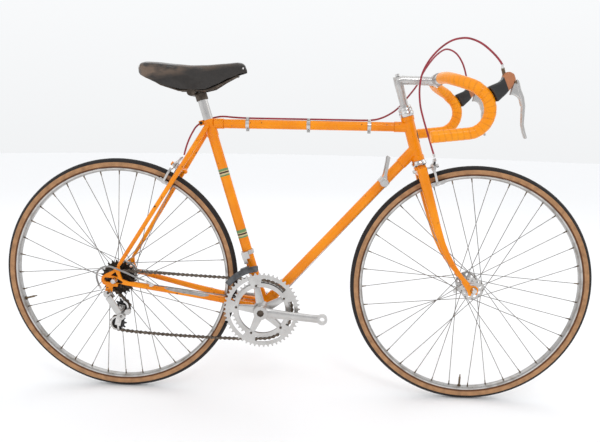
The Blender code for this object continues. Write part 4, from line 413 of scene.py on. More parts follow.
def add_ball(bm, centre, radius, segments=12):
    bmesh.ops.create_uvsphere(bm, u_segments=segments, v_segments=segments // 2, radius=radius,
                              matrix=Matrix.Translation(centre))


def add_plate(bm, outline, depth, axis, centre=Vector()):
    """A flat outline thickened both ways along an axis."""
    low = [bm.verts.new(point + centre - axis * depth / 2) for point in outline]
    grown = bmesh.ops.extrude_face_region(bm, geom=[bm.faces.new(low)])["geom"]
    bmesh.ops.translate(bm, vec=axis * depth, verts=[v for v in grown if isinstance(v, bmesh.types.BMVert)])


def add_box(bm, centre, forward, side, up, size):
    turn = Matrix((forward, side, up)).transposed().to_4x4()
    bmesh.ops.create_cube(bm, size=1.0, matrix=Matrix.Translation(centre) @ turn @ Matrix.Diagonal((*size, 1)))


def places_along(path, radii):
    """A place for each station of a path, turned without twisting and scaled to its radius."""
    along = (path[1] - path[0]).normalized()
    turn = turn_to(along).to_quaternion()
    places = []
    for i, point in enumerate(path):
        ahead = (path[min(i + 1, len(path) - 1)] - path[max(i - 1, 0)]).normalized()
        turn = along.rotation_difference(ahead) @ turn
        along = ahead
        places.append(Matrix.Translation(point) @ turn.to_matrix().to_4x4() @ Matrix.Scale(radii[i], 4))
    return places


def add_sweep(bm, path, radius, sides=16):
    """A round bar along a path, with one radius or a radius at each station. Returns each station's vertices."""
    radii = radius if isinstance(radius, list) else [radius] * len(path)
    places = places_along(path, radii)
    ring = bmesh.ops.create_circle(bm, cap_ends=True, segments=sides, radius=1.0, matrix=places[0])["verts"]
    rings = [ring]
    for before, after in zip(places, places[1:]):
        here = set(ring)
        edges = list({e for v in ring for e in v.link_edges if e.other_vert(v) in here})
        grown = bmesh.ops.extrude_edge_only(bm, edges=edges)["geom"]
        ring = [v for v in grown if isinstance(v, bmesh.types.BMVert)]
        bmesh.ops.transform(bm, matrix=after @ before.inverted(), verts=ring)
        rings.append(ring)
    here = set(ring)
    bmesh.ops.contextual_create(bm, geom=list({e for v in ring for e in v.link_edges if e.other_vert(v) in here}))
    return rings, places


def smooth_path(points, step):
    """Points at about an even step along a smooth curve through the given points."""
    ends = [points[0] * 2 - points[1]] + list(points) + [points[-1] * 2 - points[-2]]
    fine = []
    for a, b, c, d in zip(ends, ends[1:], ends[2:], ends[3:]):
        for i in range(24):
            t = i / 24
            fine.append(0.5 * (2 * b + (c - a) * t + (2 * a - 5 * b + 4 * c - d) * t**2
                               + (3 * b - a - 3 * c + d) * t**3))
    fine.append(points[-1].copy())
    return even_steps(fine, step)


def even_steps(fine, step):
    lengths = [0.0]
    for a, b in zip(fine, fine[1:]):
        lengths.append(lengths[-1] + (b - a).length)
    count = max(2, round(lengths[-1] / step))
    path, k = [], 0
    for i in range(count + 1):
        wanted = lengths[-1] * i / count
        while k < len(fine) - 2 and lengths[k + 1] < wanted:
            k += 1
        span = lengths[k + 1] - lengths[k]
        path.append(fine[k].lerp(fine[k + 1], (wanted - lengths[k]) / span if span else 0.0))
    return path


def rounded(shape, width, segments=2, angle=40):
    edge = shape.modifiers.new("rounded_edges", "BEVEL")
    edge.width = width
    edge.segments = segments
    edge.limit_method = "ANGLE"
    edge.angle_limit = math.radians(angle)
    return shape


def piece(name, bm, body, material, replaced=(), angle=38, merge=0.00001):
    """Makes an object of a mesh, gives it its finish and lets it ride on a body."""
    bmesh.ops.remove_doubles(bm, verts=bm.verts, dist=merge)
    bmesh.ops.recalc_face_normals(bm, faces=bm.faces)
    mesh = bpy.data.meshes.new(name)
    bm.to_mesh(mesh)
    bm.free()
    mesh.shade_smooth()
    mesh.set_sharp_from_angle(angle=math.radians(angle))
    mesh.materials.append(material)
    shape = bpy.data.objects.new(name, mesh)
    bpy.context.scene.collection.objects.link(shape)
    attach(shape, body)
    if replaced:
        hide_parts(*replaced)
    return shape


def refined(node, slot, material=None, width=0.0006, angle=38, segments=2):
    """A copy of a CAD node with its triangles merged, its round faces smooth and its edges eased."""
    bm = bmesh.new()
    bm.from_mesh(frame["nodes"][node].data)
    bmesh.ops.remove_doubles(bm, verts=bm.verts, dist=0.000002)
    bmesh.ops.dissolve_limit(bm, angle_limit=math.radians(0.4), verts=bm.verts, edges=bm.edges)
    shape = piece(node + "_surface", bm, BODY_OF[node], material or FINISHES[slot], (node,), angle, 0.000002)
    if width:
        rounded(shape, width, segments)
    return shape


# ---- Wheels ----


def make_tyre(prefix, hub):
    half_base = 0.0094
    profile = [(half_base, RIM_OUTER_RADIUS + 0.0004)]
    for k in range(1, 6):
        share = k / 5
        profile.append((half_base + (TYRE_HALF_WIDTH - half_base) * math.sin(share * math.pi / 2),
                        RIM_OUTER_RADIUS + (TYRE_WIDEST_RADIUS - RIM_OUTER_RADIUS) * share))
    for k in range(1, 9):
        turn = math.pi / 2 * k / 8
        profile.append((TYRE_HALF_WIDTH * math.cos(turn),
                        TYRE_WIDEST_RADIUS + (WHEEL_RADIUS - TYRE_WIDEST_RADIUS) * math.sin(turn)))
    profile += [(-side, radius) for side, radius in reversed(profile[:-1])]
    bm = bmesh.new()
    add_turned(bm, hub, LEFT, profile, 160)
    piece(prefix + "_tyre_surface", bm, prefix + "_wheel", tyre_finish(prefix + "_tyre", hub), (prefix + "_tyre",),
          60)


def make_rim(prefix, hub):
    half = RIM_HALF_WIDTH
    low, high = RIM_INNER_RADIUS, RIM_OUTER_RADIUS
    profile = [(-half, low + 0.0028), (-half + 0.0008, low + 0.0014), (-half + 0.0026, low + 0.0004),
               (-half + 0.0060, low), (half - 0.0060, low), (half - 0.0026, low + 0.0004),
               (half - 0.0008, low + 0.0014), (half, low + 0.0028), (half, high - 0.0004), (half - 0.0006, high),
               (-half + 0.0006, high), (-half, high - 0.0004)]
    bm = bmesh.new()
    add_turned(bm, hub, LEFT, profile, 160)
    piece(prefix + "_rim_surface", bm, prefix + "_wheel", rim_finish(prefix + "_rim", hub), (prefix + "_rim",),
          30)
    bm = bmesh.new()
    stem = polar(VALVE_ANGLE if prefix == "rear" else 268.0)
    add_bar(bm, hub + stem * (low + 0.001), hub + stem * (low - 0.026), 0.0029, sides=12)
    add_bar(bm, hub + stem * (low - 0.022), hub + stem * (low - 0.034), 0.0021, 0.0016, 12)
    add_bar(bm, hub + stem * (low - 0.0002), hub + stem * (low - 0.0022), 0.0055, sides=12)
    piece(prefix + "_valve", bm, prefix + "_wheel", BRASS, ())


def make_spokes(prefix, hub, flange_side, rim_side, first_angle, node):
    """Eighteen round spokes of one side with their heads, and a nipple at the rim for each."""
    spokes, nipples = bmesh.new(), bmesh.new()
    for i in range(18):
        leaning = 1 if i % 2 == 0 else -1
        angle = first_angle + 20 * i
        head = hub + polar(angle + 60 * leaning, HOLE_RADIUS) + LEFT * (flange_side + 0.0022 * leaning)
        seat = hub + polar(angle, RIM_INNER_RADIUS) + LEFT * rim_side
        along = (head - seat).normalized()
        add_bar(spokes, head, seat + along * 0.004, SPOKE_RADIUS, sides=8)
        add_ball(spokes, head, 0.0019, 8)
        add_bar(nipples, seat - along * 0.0002, seat + along * 0.0030, 0.0022, 0.0019, 8)
        add_bar(nipples, seat + along * 0.0028, seat + along * NIPPLE_LENGTH, 0.0018, 0.0014, 8)
    piece(node + "_round", spokes, prefix + "_wheel", SPOKE_STEEL, (node,))
    piece(node + "_nipples", nipples, prefix + "_wheel", BRASS, ())


def make_hub(prefix, hub, flanges, right_end, left_end, barrel, collar):
    """A high-flange hub with round openings in its flanges and a waisted barrel."""
    half = FLANGE_THICKNESS / 2
    right, left = flanges
    profile = [(right_end, 0.0056), (right_end, collar - 0.0006), (right_end + 0.0006, collar),
               (right - half - 0.0030, collar), (right - half - 0.0004, collar + 0.0030),
               (right - half, FLANGE_RADIUS - 0.0010), (right - half + 0.0008, FLANGE_RADIUS),
               (right + half - 0.0008, FLANGE_RADIUS), (right + half, FLANGE_RADIUS - 0.0010),
               (right + half + 0.0006, barrel + 0.0050), (right + half + 0.0060, barrel), (0.0, barrel - 0.0012),
               (left - half - 0.0060, barrel), (left - half - 0.0006, barrel + 0.0050),
               (left - half, FLANGE_RADIUS - 0.0010), (left - half + 0.0008, FLANGE_RADIUS),
               (left + half - 0.0008, FLANGE_RADIUS), (left + half, FLANGE_RADIUS - 0.0010),
               (left + half + 0.0004, 0.0145), (left + half + 0.0030, 0.0115), (left_end - 0.0006, 0.0115),
               (left_end, 0.0109), (left_end, 0.0056)]
    bm = bmesh.new()
    add_turned(bm, hub, LEFT, profile, 64)
    shell = piece(prefix + "_hub_shell", bm, prefix + "_wheel", FINISHES["polished_alloy"], (prefix + "_hub",),
                  30)
    cutter = bmesh.new()
    for side in flanges:
        for i in range(9):
            middle = hub + polar(40 * i + 12, 0.0225) + LEFT * side
            add_bar(cutter, middle + RIGHT * 0.0030, middle + LEFT * 0.0030, 0.0042, sides=16)
    mesh = bpy.data.meshes.new("openings")
    cutter.to_mesh(mesh)
    cutter.free()
    openings = bpy.data.objects.new("openings", mesh)
    bpy.context.scene.collection.objects.link(openings)
    cut_away(shell, openings)


def cut_away(shape, cutter):
    """Cuts a cutter from a shape and removes the cutter."""
    cut = shape.modifiers.new("cut", "BOOLEAN")
    cut.operation = "DIFFERENCE"
    cut.object = cutter
    mesh = bpy.data.meshes.new_from_object(shape.evaluated_get(bpy.context.evaluated_depsgraph_get()))
    shape.modifiers.clear()
    shape.data = mesh
    mesh.shade_smooth()
    mesh.set_sharp_from_angle(angle=math.radians(35))
    bpy.data.objects.remove(cutter)


def make_wheels():
    for prefix, hub, flanges, first, left_first in (("rear", REAR_HUB, REAR_FLANGES, 0.0, 10.0),
                                                    ("front", FRONT_HUB, FRONT_FLANGES, 32.5, 2.5)):
        make_tyre(prefix, hub)
        make_rim(prefix, hub)
        make_spokes(prefix, hub, flanges[0], -0.0025, first, prefix + "_spokes_right")
        make_spokes(prefix, hub, flanges[1], 0.0025, left_first, prefix + "_spokes_left")
    make_hub("rear", REAR_HUB, REAR_FLANGES, -0.0345, 0.0535, 0.0140, 0.0165)
    make_hub("front", FRONT_HUB, FRONT_FLANGES, -0.0435, 0.0435, 0.0120, 0.0115)
    for node in ("front_axle", "rear_axle", "front_quick_release_lever", "rear_quick_release_lever"):
        refined(node, "bright_chrome", width=0.0008, segments=3)


# ---- Frame and fork ----


def make_frame():
    for node in ("top_tube", "down_tube", "head_tube"):
        refined(node, "orange_enamel", width=0.0004)
    refined("seat_tube", "orange_enamel", BANDED_ENAMEL, 0.0004)
    for node in ("bottom_bracket_shell", "chain_stay_left", "seat_stays"):
        refined(node, "orange_enamel", CHIPPED_ENAMEL, 0.0004)
    stay = refined("chain_stay_right", "orange_enamel", CHIPPED_ENAMEL, 0.0004)
    stay.data.materials.append(FINISHES["bright_chrome"])
    for face in stay.data.polygons:
        if face.center.x < -0.488 and face.center.z < 0.3165:
            face.material_index = 1
    fork = refined("fork", "orange_enamel", width=0.0005)
    fork.data.materials.append(FINISHES["bright_chrome"])
    for face in fork.data.polygons:
        apart = face.center - steer(-FRONT_BRAKE_DROP)
        beside = math.hypot(apart.y, apart.dot(HEAD_UP))
        if beside < 0.0075 and abs(apart.dot(HEAD_FORWARD)) > 0.0150:
            face.material_index = 1
    for node in ("headset_upper", "headset_lower"):
        refined(node, "bright_chrome", width=0.0006)


def make_frame_trim():
    """Cable clips, the seat binder's bolt, the badge and the stop for the gear cable."""
    clips = bmesh.new()
    for x in (0.198, 0.034, -0.132):
        centre = Vector((x, 0, TOP_TUBE_HEIGHT))
        radius = TOP_TUBE_RADIUS + 0.0002
        add_turned(clips, centre, Vector((1, 0, 0)), [(-0.0048, radius), (-0.0048, radius + 0.0009),
                                                      (0.0048, radius + 0.0009), (0.0048, radius)], 40)
        add_box(clips, centre - UP * (radius + 0.0035), Vector((1, 0, 0)), LEFT, UP, (0.0085, 0.0050, 0.0060))
        add_bar(clips, centre + Vector((0, -0.0060, -radius - 0.0040)), centre + Vector((0, 0.0060, -radius - 0.0040)),
                0.0020, sides=10)
        add_turned(clips, centre + UP * 0.0161, Vector((1, 0, 0)), [(-0.0040, 0.0026), (-0.0040, 0.0033),
                                                                    (0.0040, 0.0033), (0.0040, 0.0026)], 20)
    piece("cable_clips", clips, "frame", FINISHES["bright_chrome"], ())
    badge = bmesh.new()
    centre = HEAD_FOOT + HEAD_UP * HEAD_TUBE_LENGTH * 0.52 + HEAD_FORWARD * (HEAD_TUBE_RADIUS + 0.0006)
    outline = [LEFT * 0.0095 * math.cos(t) + HEAD_UP * 0.0160 * math.sin(t)
               for t in (2 * math.pi * i / 28 for i in range(28))]
    add_plate(badge, outline, 0.0010, HEAD_FORWARD, centre)
    for vertex in badge.verts:
        side = vertex.co.y
        vertex.co -= HEAD_FORWARD * (HEAD_TUBE_RADIUS - math.sqrt(HEAD_TUBE_RADIUS**2 - side**2))
    piece("head_badge", badge, "frame", BADGE, ())
    stop = bmesh.new()
    place = Vector((-0.3925, -0.0640, 0.3262))
    add_bar(stop, place + Vector((0.0080, 0, -0.0030)), place + Vector((-0.0075, -0.0055, 0.0075)), 0.0036, sides=14)
    add_box(stop, place + Vector((0, 0.0020, -0.0040)), Vector((1, 0, 0)), LEFT, UP, (0.0090, 0.0040, 0.0060))
    piece("gear_cable_stop", stop, "frame", FINISHES["bright_chrome"], ())
    binder = bmesh.new()
    middle = SEAT_TOP - SEAT_UP * 0.0035 + BACK * 0.0205
    add_bar(binder, middle + RIGHT * 0.0105, middle + LEFT * 0.0105, 0.0030, sides=12)
    add_bar(binder, middle + RIGHT * 0.0105, middle + RIGHT * 0.0078, 0.0046, sides=6)
    add_bar(binder, middle + LEFT * 0.0105, middle + LEFT * 0.0078, 0.0046, sides=6)
    piece("seat_binder_bolt", binder, "frame", FINISHES["dark_steel"], ())


def make_stay_guard():
    """The thin metal guard along the outside of the right chain stay."""
    start = Vector((BOTTOM_BRACKET.x - 0.012, -0.0272, BOTTOM_BRACKET.z + 0.002))
    end = REAR_HUB + Vector((0.0500, -0.0615, -0.0105))
    path = []
    for k in range(19):
        share = 0.33 + 0.49 * k / 18
        flare = max(0.0, share - 0.26) / 0.74
        point = start.lerp(end, share)
        point.y = start.y + (end.y - start.y) * flare**1.35
        path.append(point + UP * 0.0024 + RIGHT * 0.0022)
    bm = bmesh.new()
    radii = [(0.0072 - 0.0014 * k / 18) * min(1.0, 0.55 + 0.10 * min(k, 18 - k)) for k in range(19)]
    add_sweep(bm, path, radii, 20)
    piece("chain_stay_guard", bm, "frame", GUARD_ALLOY, ())


# ---- Bars ----


def hook_point(centre, angle, grow=0.0):
    turn = math.radians(angle)
    return centre + Vector(((HOOK_DEPTH + grow) * math.cos(turn), 0, (HOOK_HEIGHT + grow) * math.sin(turn)))


def hook_centre(side):
    return BAR_CLAMP + Vector((HOOK_FORWARD, side * BAR_WIDTH / 2, -HOOK_DOWN))


def bar_half(side):
    """The bar's axis on one side, from the middle plane to its end."""
    half = BAR_WIDTH / 2
    hook = hook_centre(side)
    points = [BAR_CLAMP + LEFT * side * y for y in (0.0, 0.030, 0.060)]
    points += [BAR_CLAMP + Vector((x, side * (half - inside), z)) for x, inside, z in BAR_BEND]
    steps = 9
    for i in range(steps + 1):
        points.append(hook_point(hook, RAMP_ANGLE + (HOOK_END_ANGLE - RAMP_ANGLE) * i / steps))
    back = polar(HOOK_END_ANGLE - 90)
    points.append(points[-1] + back * DROP_LENGTH / 2)
    points.append(points[-1] + back * DROP_LENGTH / 2)
    return points


def make_tape(side, name):
    """Tape wound along the bar, each turn lying a little over the one before it."""
    step = 0.0016
    path = [p for p in smooth_path(bar_half(side), step) if abs(p.y) > TAPE_START]
    bm = bmesh.new()
    # A per-vertex weight for the painted shade in the folds of the tape.
    fold_shade = bm.verts.layers.float.new("fold_shade")
    rings, places = add_sweep(bm, path, TAPE_RADIUS, 28)
    for i, (ring, place) in enumerate(zip(rings, places)):
        back = place.inverted()
        for vertex in ring:
            spot = back @ vertex.co
            around = math.atan2(spot.y, spot.x) / (2 * math.pi) * side
            turn = (i * step / TAPE_PITCH + around + 0.04 * math.sin(i * 0.9)) % 1.0
            rise = min(1.0, turn / 0.10) if turn < 0.10 else 1.0 - 0.55 * (turn - 0.10) / 0.90
            spot.xy *= 1.0 - 0.045 + 0.065 * rise
            vertex.co = place @ spot
            # Painted shade weight, highest along the fold where a turn meets the next.
            vertex[fold_shade] = max(0.0, 1.0 - min(turn, 1.0 - turn) / 0.11)
    shape = piece(name + "_wound", bm, "steering", FINISHES["orange_tape"], (name,), 75)
    plug = bmesh.new()
    tip = path[-1]
    out = (path[-1] - path[-2]).normalized()
    add_turned(plug, tip, out, [(-0.002, 0.0), (-0.002, 0.0140), (0.0004, 0.0140), (0.0014, 0.0120), (0.0018, 0.0)], 28)
    piece(name + "_end_plug", plug, "steering", FINISHES["orange_tape"], ())
    return shape


def make_bars():
    right = smooth_path(bar_half(-1), 0.006)
    left = smooth_path(bar_half(1), 0.006)
    bm = bmesh.new()
    add_sweep(bm, list(reversed(right)) + left[1:], BAR_RADIUS, 24)
    add_turned(bm, BAR_CLAMP, LEFT, [(-0.052, 0.0118), (-0.048, 0.0129), (-0.0215, 0.0131), (0.0215, 0.0131),
                                     (0.048, 0.0129), (0.052, 0.0118)], 32)
    piece("handlebar_surface", bm, "steering", FINISHES["polished_alloy"], ("handlebar",))
    make_tape(-1, "bar_tape_right")
    make_tape(1, "bar_tape_left")
    refined("stem", "polished_alloy", width=0.0010, segments=3)
    bolts = bmesh.new()
    top = steer(STEM_RISE) + HEAD_UP * 0.0085 + HEAD_FORWARD * 0.0020
    add_bar(bolts, top, top + HEAD_UP * 0.0065, 0.0062, sides=24)
    below = BAR_CLAMP + Vector((0.0015, 0, -0.0165))
    add_bar(bolts, below + RIGHT * 0.0118, below + LEFT * 0.0118, 0.0038, sides=12)
    piece("stem_bolts", bolts, "steering", FINISHES["bright_chrome"], ())


LEVER_ROOT = ((0.5180, 0.8790), (0.5140, 0.8600), (0.5110, 0.8461), (0.5200, 0.8470), (0.5290, 0.8425),
              (0.5345, 0.8352), (0.5390, 0.8200), (0.5462, 0.8200), (0.5430, 0.8374), (0.5330, 0.8586),
              (0.5235, 0.8765))


def make_hoods():
    """The lever bodies, black and smooth above, with the gum cover in front of them."""
    for hand, side in (("right", -1), ("left", 1)):
        centre = hook_centre(side)
        bm = bmesh.new()
        bm.from_mesh(frame["nodes"]["brake_hood_" + hand].data)
        shape = piece("lever_body_" + hand, bm, "steering", hood_finish("lever_body_" + hand, centre),
                      ("brake_hood_" + hand,), 40)
        rounded(shape, 0.0022, 3, 30)
        pins = bmesh.new()
        pivot = BAR_CLAMP + Vector((0.1455, side * BAR_WIDTH / 2, -0.0175))
        add_bar(pins, pivot + RIGHT * 0.0142, pivot + LEFT * 0.0142, 0.0028, sides=14)
        ferrule = centre + Vector((0.0745, 0, 0.0905))
        add_bar(pins, ferrule + Vector((0.0040, 0, -0.0090)), ferrule + Vector((-0.0010, 0, 0.0075)), 0.0040, sides=16)
        piece("lever_pins_" + hand, pins, "steering", BRASS, ())
        refined("brake_lever_" + hand, "polished_alloy", width=0.0022, segments=3, angle=50)
        root = bmesh.new()
        outline = [Vector((x, 0, z)) for x, z in LEVER_ROOT]
        add_plate(root, outline, 0.0125, LEFT, LEFT * side * BAR_WIDTH / 2)
        rounded(piece("lever_root_" + hand, root, "brake_lever_" + hand, FINISHES["polished_alloy"], (),
                      40), 0.0024, 3, 30)


def hood_finish(name, centre):
    """Black body near the bar and brown gum rubber towards the lever."""
    finish = Finish(name, 0.55, 0.0, 0.05)
    share = finish.limits(finish.along(Vector((0.5038, centre.y, 0.8612)), (0.92, 0, 0.40)), -0.0006, 0.0006)
    gum = finish.mix(finish.noise(60.0, 5.0), rgb(0.52, 0.20, 0.080), rgb(0.30, 0.105, 0.045))
    finish.colour(finish.mix(share, rgb(0.014, 0.014, 0.014), gum))
    finish.roughness(finish.limits(share, 0.0, 1.0, 0.36, 0.66))
    finish.relief(finish.noise(420.0, 3.0), 0.00010)
    return finish.material


# ---- Cords ----

FRONT_CABLE = ((0.4905, -0.1985, 0.9060), (0.4895, -0.1950, 0.9170), (0.4752, -0.1800, 0.9398),
               (0.4513, -0.1600, 0.9652), (0.4286, -0.1400, 0.9795), (0.4101, -0.1200, 0.9842),
               (0.3870, -0.1000, 0.9800), (0.3632, -0.0800, 0.9635), (0.3411, -0.0650, 0.9367),
               (0.3265, -0.0520, 0.9040), (0.3225, -0.0450, 0.8663), (0.3270, -0.0410, 0.8250),
               (0.3370, -0.0395, 0.7900), (0.3500, -0.0400, 0.7520), (0.3625, -0.0410, 0.7150),
               (0.3712, -0.0420, 0.6910))
REAR_CABLE = ((0.4905, 0.1985, 0.9060), (0.4900, 0.1950, 0.9170), (0.4748, 0.1850, 0.9545),
              (0.4495, 0.1650, 0.9813), (0.4183, 0.1450, 0.9895), (0.3899, 0.1250, 0.9725),
              (0.3665, 0.1080, 0.9458), (0.3467, 0.0920, 0.9155), (0.3306, 0.0780, 0.8828),
              (0.3030, 0.0580, 0.8473), (0.2820, 0.0400, 0.8230), (0.2592, 0.0240, 0.8050),
              (0.2300, 0.0100, 0.7905), (0.1980, 0.0020, 0.7845), (0.1200, 0.0, 0.7840),
              (0.0340, 0.0, 0.7840), (-0.0600, 0.0, 0.7840), (-0.1320, 0.0010, 0.7842),
              (-0.1700, 0.0080, 0.7855), (-0.2040, 0.0185, 0.7875), (-0.2290, 0.0280, 0.7840),
              (-0.2560, 0.0335, 0.7760), (-0.2808, 0.0360, 0.7601), (-0.2933, 0.0385, 0.7432),
              (-0.3037, 0.0405, 0.7243), (-0.3130, 0.0422, 0.7017), (-0.3198, 0.0430, 0.6785))
GEAR_HOUSING = ((-0.4000, -0.0700, 0.3350), (-0.4311, -0.0720, 0.3466), (-0.4557, -0.0725, 0.3576),
                (-0.4838, -0.0740, 0.3693), (-0.4979, -0.0740, 0.3743), (-0.5103, -0.0740, 0.3754),
                (-0.5247, -0.0735, 0.3717), (-0.5349, -0.0730, 0.3632), (-0.5398, -0.0730, 0.3532),
                (-0.5403, -0.0730, 0.3404), (-0.5356, -0.0735, 0.3242), (-0.5300, -0.0740, 0.3118))


def make_housing(name, points, body, slot, node):
    path = smooth_path([Vector(p) for p in points], 0.005)
    bm = bmesh.new()
    add_sweep(bm, path, HOUSING_RADIUS, 12)
    shape = piece(name, bm, body, FINISHES[slot], (node,), 60)
    ends = bmesh.new()
    for tip, inside in ((path[0], path[1]), (path[-1], path[-2])):
        along = (inside - tip).normalized()
        add_bar(ends, tip - along * 0.0004, tip + along * 0.0090, 0.0031, sides=14)
    piece(name + "_ferrules", ends, body, FINISHES["bright_chrome"], ())
    return shape


def make_cords():
    make_housing("front_brake_housing", FRONT_CABLE, "steering", "red_housing", "front_brake_cable")
    path = smooth_path([Vector(p) for p in REAR_CABLE], 0.005)
    bm = bmesh.new()
    add_sweep(bm, path, HOUSING_RADIUS, 12)
    rear = piece("rear_brake_housing", bm, "frame", FINISHES["red_housing"], ("rear_brake_cable",), 60)
    rear.parent = None
    rear.matrix_parent_inverse = Matrix.Identity(4)
    del rear["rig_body"]
    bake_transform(rear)
    make_housing("gear_housing", GEAR_HOUSING, "frame", "grey_housing", "derailleur_housing")
    wires = bmesh.new()
    for side in (-1, 1):
        high = SHIFTER_BOSS - DOWN_NORMAL * 0.0115 + LEFT * side * 0.0140
        low = BOTTOM_BRACKET + DOWN_UP * 0.052 - DOWN_NORMAL * 0.0165 + LEFT * side * 0.0060
        add_sweep(wires, [high, high.lerp(low, 0.5), low], 0.0007, 6)
    stop = Vector((-0.3890, -0.0640, 0.3240))
    under = BOTTOM_BRACKET + Vector((-0.020, -0.026, 0.0225))
    add_sweep(wires, [under, under.lerp(stop, 0.5) + RIGHT * 0.006 + UP * 0.002, stop], 0.0007, 6)
    piece("gear_wires", wires, "frame", SPOKE_STEEL, ())


# ---- Chain and gears ----


def pitch_radius(teeth):
    return PITCH / (2 * math.sin(math.pi / teeth))


def tangent_points(centre, radius, other, other_radius, turn, other_turn):
    gap = other - centre
    base = math.atan2(gap.z, gap.x)
    lean = math.acos((radius * turn - other_radius * other_turn) / math.hypot(gap.x, gap.z))
    normal = Vector((math.cos(base - lean), 0, math.sin(base - lean)))
    return centre + normal * radius * turn, other + normal * other_radius * other_turn


def arc_points(centre, start, end, clockwise, step):
    first = math.atan2(start.z - centre.z, start.x - centre.x)
    last = math.atan2(end.z - centre.z, end.x - centre.x)
    while clockwise and last > first:
        last -= 2 * math.pi
    while not clockwise and last < first:
        last += 2 * math.pi
    radius = math.hypot(start.x - centre.x, start.z - centre.z)
    count = max(2, round(abs(last - first) * radius / step))
    return [centre + Vector((math.cos(a), 0, math.sin(a))) * radius
            for a in (first + (last - first) * i / count for i in range(count + 1))]


def chain_line():
    """The closed line of the chain's pins: over the ring, round the cog and through the two pulleys."""
    wheels = [(Vector((BOTTOM_BRACKET.x, INNER_RING_SIDE, BOTTOM_BRACKET.z)), pitch_radius(INNER_TEETH), -1),
              (Vector((REAR_HUB.x, SMALLEST_COG_SIDE, REAR_HUB.z)), pitch_radius(COG_TEETH[0]), -1),
              (Vector((GUIDE_PULLEY[0], SMALLEST_COG_SIDE, GUIDE_PULLEY[1])), pitch_radius(JOCKEY_TEETH), 1),
              (Vector((TENSION_PULLEY[0], SMALLEST_COG_SIDE, TENSION_PULLEY[1])), pitch_radius(JOCKEY_TEETH), -1)]
    runs = []
    for i, (centre, radius, turn) in enumerate(wheels):
        other, other_radius, other_turn = wheels[(i + 1) % 4]
        runs.append(tangent_points(centre, radius, other, other_radius, -turn, -other_turn))
    points = []
    for i, (centre, radius, turn) in enumerate(wheels):
        arrive, leave, following = runs[i - 1][1].copy(), runs[i][0].copy(), runs[i][1].copy()
        arrive.y = leave.y = centre.y
        following.y = wheels[(i + 1) % 4][0].y
        points += arc_points(centre, arrive, leave, turn > 0, 0.002)
        sag = CHAIN_SAG if i == 3 else 0.0
        count = max(2, int((following - leave).length / 0.004))
        for k in range(1, count):
            share = k / count
            points.append(leave.lerp(following, share) - UP * sag * (4 * share * (1 - share)) ** 0.6)
    return points + [points[0]]


def link_plate(width, waist):
    """The outline of a link's side plate, from one pin to the next."""
    outline = []
    for pin, first in ((PITCH / 2, -90), (-PITCH / 2, 90)):
        outline += [Vector((pin, 0, 0)) + polar(first + 30 * k, width) for k in range(7)]
        outline.append(Vector((0, 0, waist if first < 0 else -waist)))
    return outline


def make_chain():
    line = chain_line()
    length = sum((b - a).length for a, b in zip(line, line[1:]))
    count = 2 * round(length / PITCH / 2)
    pins = even_steps(line, length / count)[:count]
    bm = bmesh.new()
    for i, pin in enumerate(pins):
        other = pins[(i + 1) % count]
        along = (other - pin).normalized()
        up = along.cross(LEFT).normalized()
        middle = (pin + other) / 2
        turn = Matrix((along, up.cross(along).normalized(), up)).transposed()
        outer = i % 2 == 0
        for side in (-1, 1):
            offset = side * (0.00315 if outer else 0.00225)
            outline = [turn @ point for point in link_plate(0.0043, 0.0020)]
            add_plate(bm, outline, 0.0009, LEFT, middle + LEFT * offset)
        add_bar(bm, pin + RIGHT * 0.0019, pin + LEFT * 0.0019, 0.0038, sides=10)
        add_bar(bm, pin + RIGHT * 0.0042, pin + LEFT * 0.0042, 0.0017, sides=8)
    piece("chain_links", bm, "frame", CHAIN_STEEL, ("chain",), 30)
    return pins


def tooth_angle(pins, centre, radius):
    """The angle of a tooth between two of the pins that lie on a wheel."""
    on = [p for p in pins if abs(math.hypot(p.x - centre.x, p.z - centre.z) - radius) < 0.0006]
    pin = on[len(on) // 2]
    return math.degrees(math.atan2(pin.z - centre.z, pin.x - centre.x))


def add_toothed_ring(bm, centre, teeth, inner, thickness, first):
    """A flat ring with a tooth between each two pins."""
    radius = pitch_radius(teeth)
    pitch = 360 / teeth
    outline = []
    for i in range(teeth):
        middle = first + pitch * (i + 0.5)
        for share, reach in ((-0.40, -0.0040), (-0.24, -0.0026), (-0.10, 0.0024), (0.10, 0.0024), (0.24, -0.0026),
                             (0.40, -0.0040)):
            outline.append(polar(middle + pitch * share, radius + reach))
    outer = [bm.verts.new(point + centre) for point in outline]
    round_hole = bmesh.ops.create_circle(bm, segments=len(outline), radius=inner,
                                         matrix=Matrix.Translation(centre) @ turn_to(LEFT))["verts"]
    edges = [bm.edges.new(pair) for pair in zip(outer, outer[1:] + outer[:1])]
    hole = set(round_hole)
    edges += list({e for v in round_hole for e in v.link_edges if e.other_vert(v) in hole})
    faces = bmesh.ops.bridge_loops(bm, edges=edges)["faces"]
    bmesh.ops.translate(bm, vec=RIGHT * thickness / 2, verts=outer + round_hole)
    grown = bmesh.ops.extrude_face_region(bm, geom=faces)["geom"]
    bmesh.ops.translate(bm, vec=LEFT * thickness, verts=[v for v in grown if isinstance(v, bmesh.types.BMVert)])


def bolt_place(index, side=0.0):
    return BOTTOM_BRACKET + polar(BOLT_ANGLE + 72 * index, BOLT_CIRCLE_RADIUS) + LEFT * side


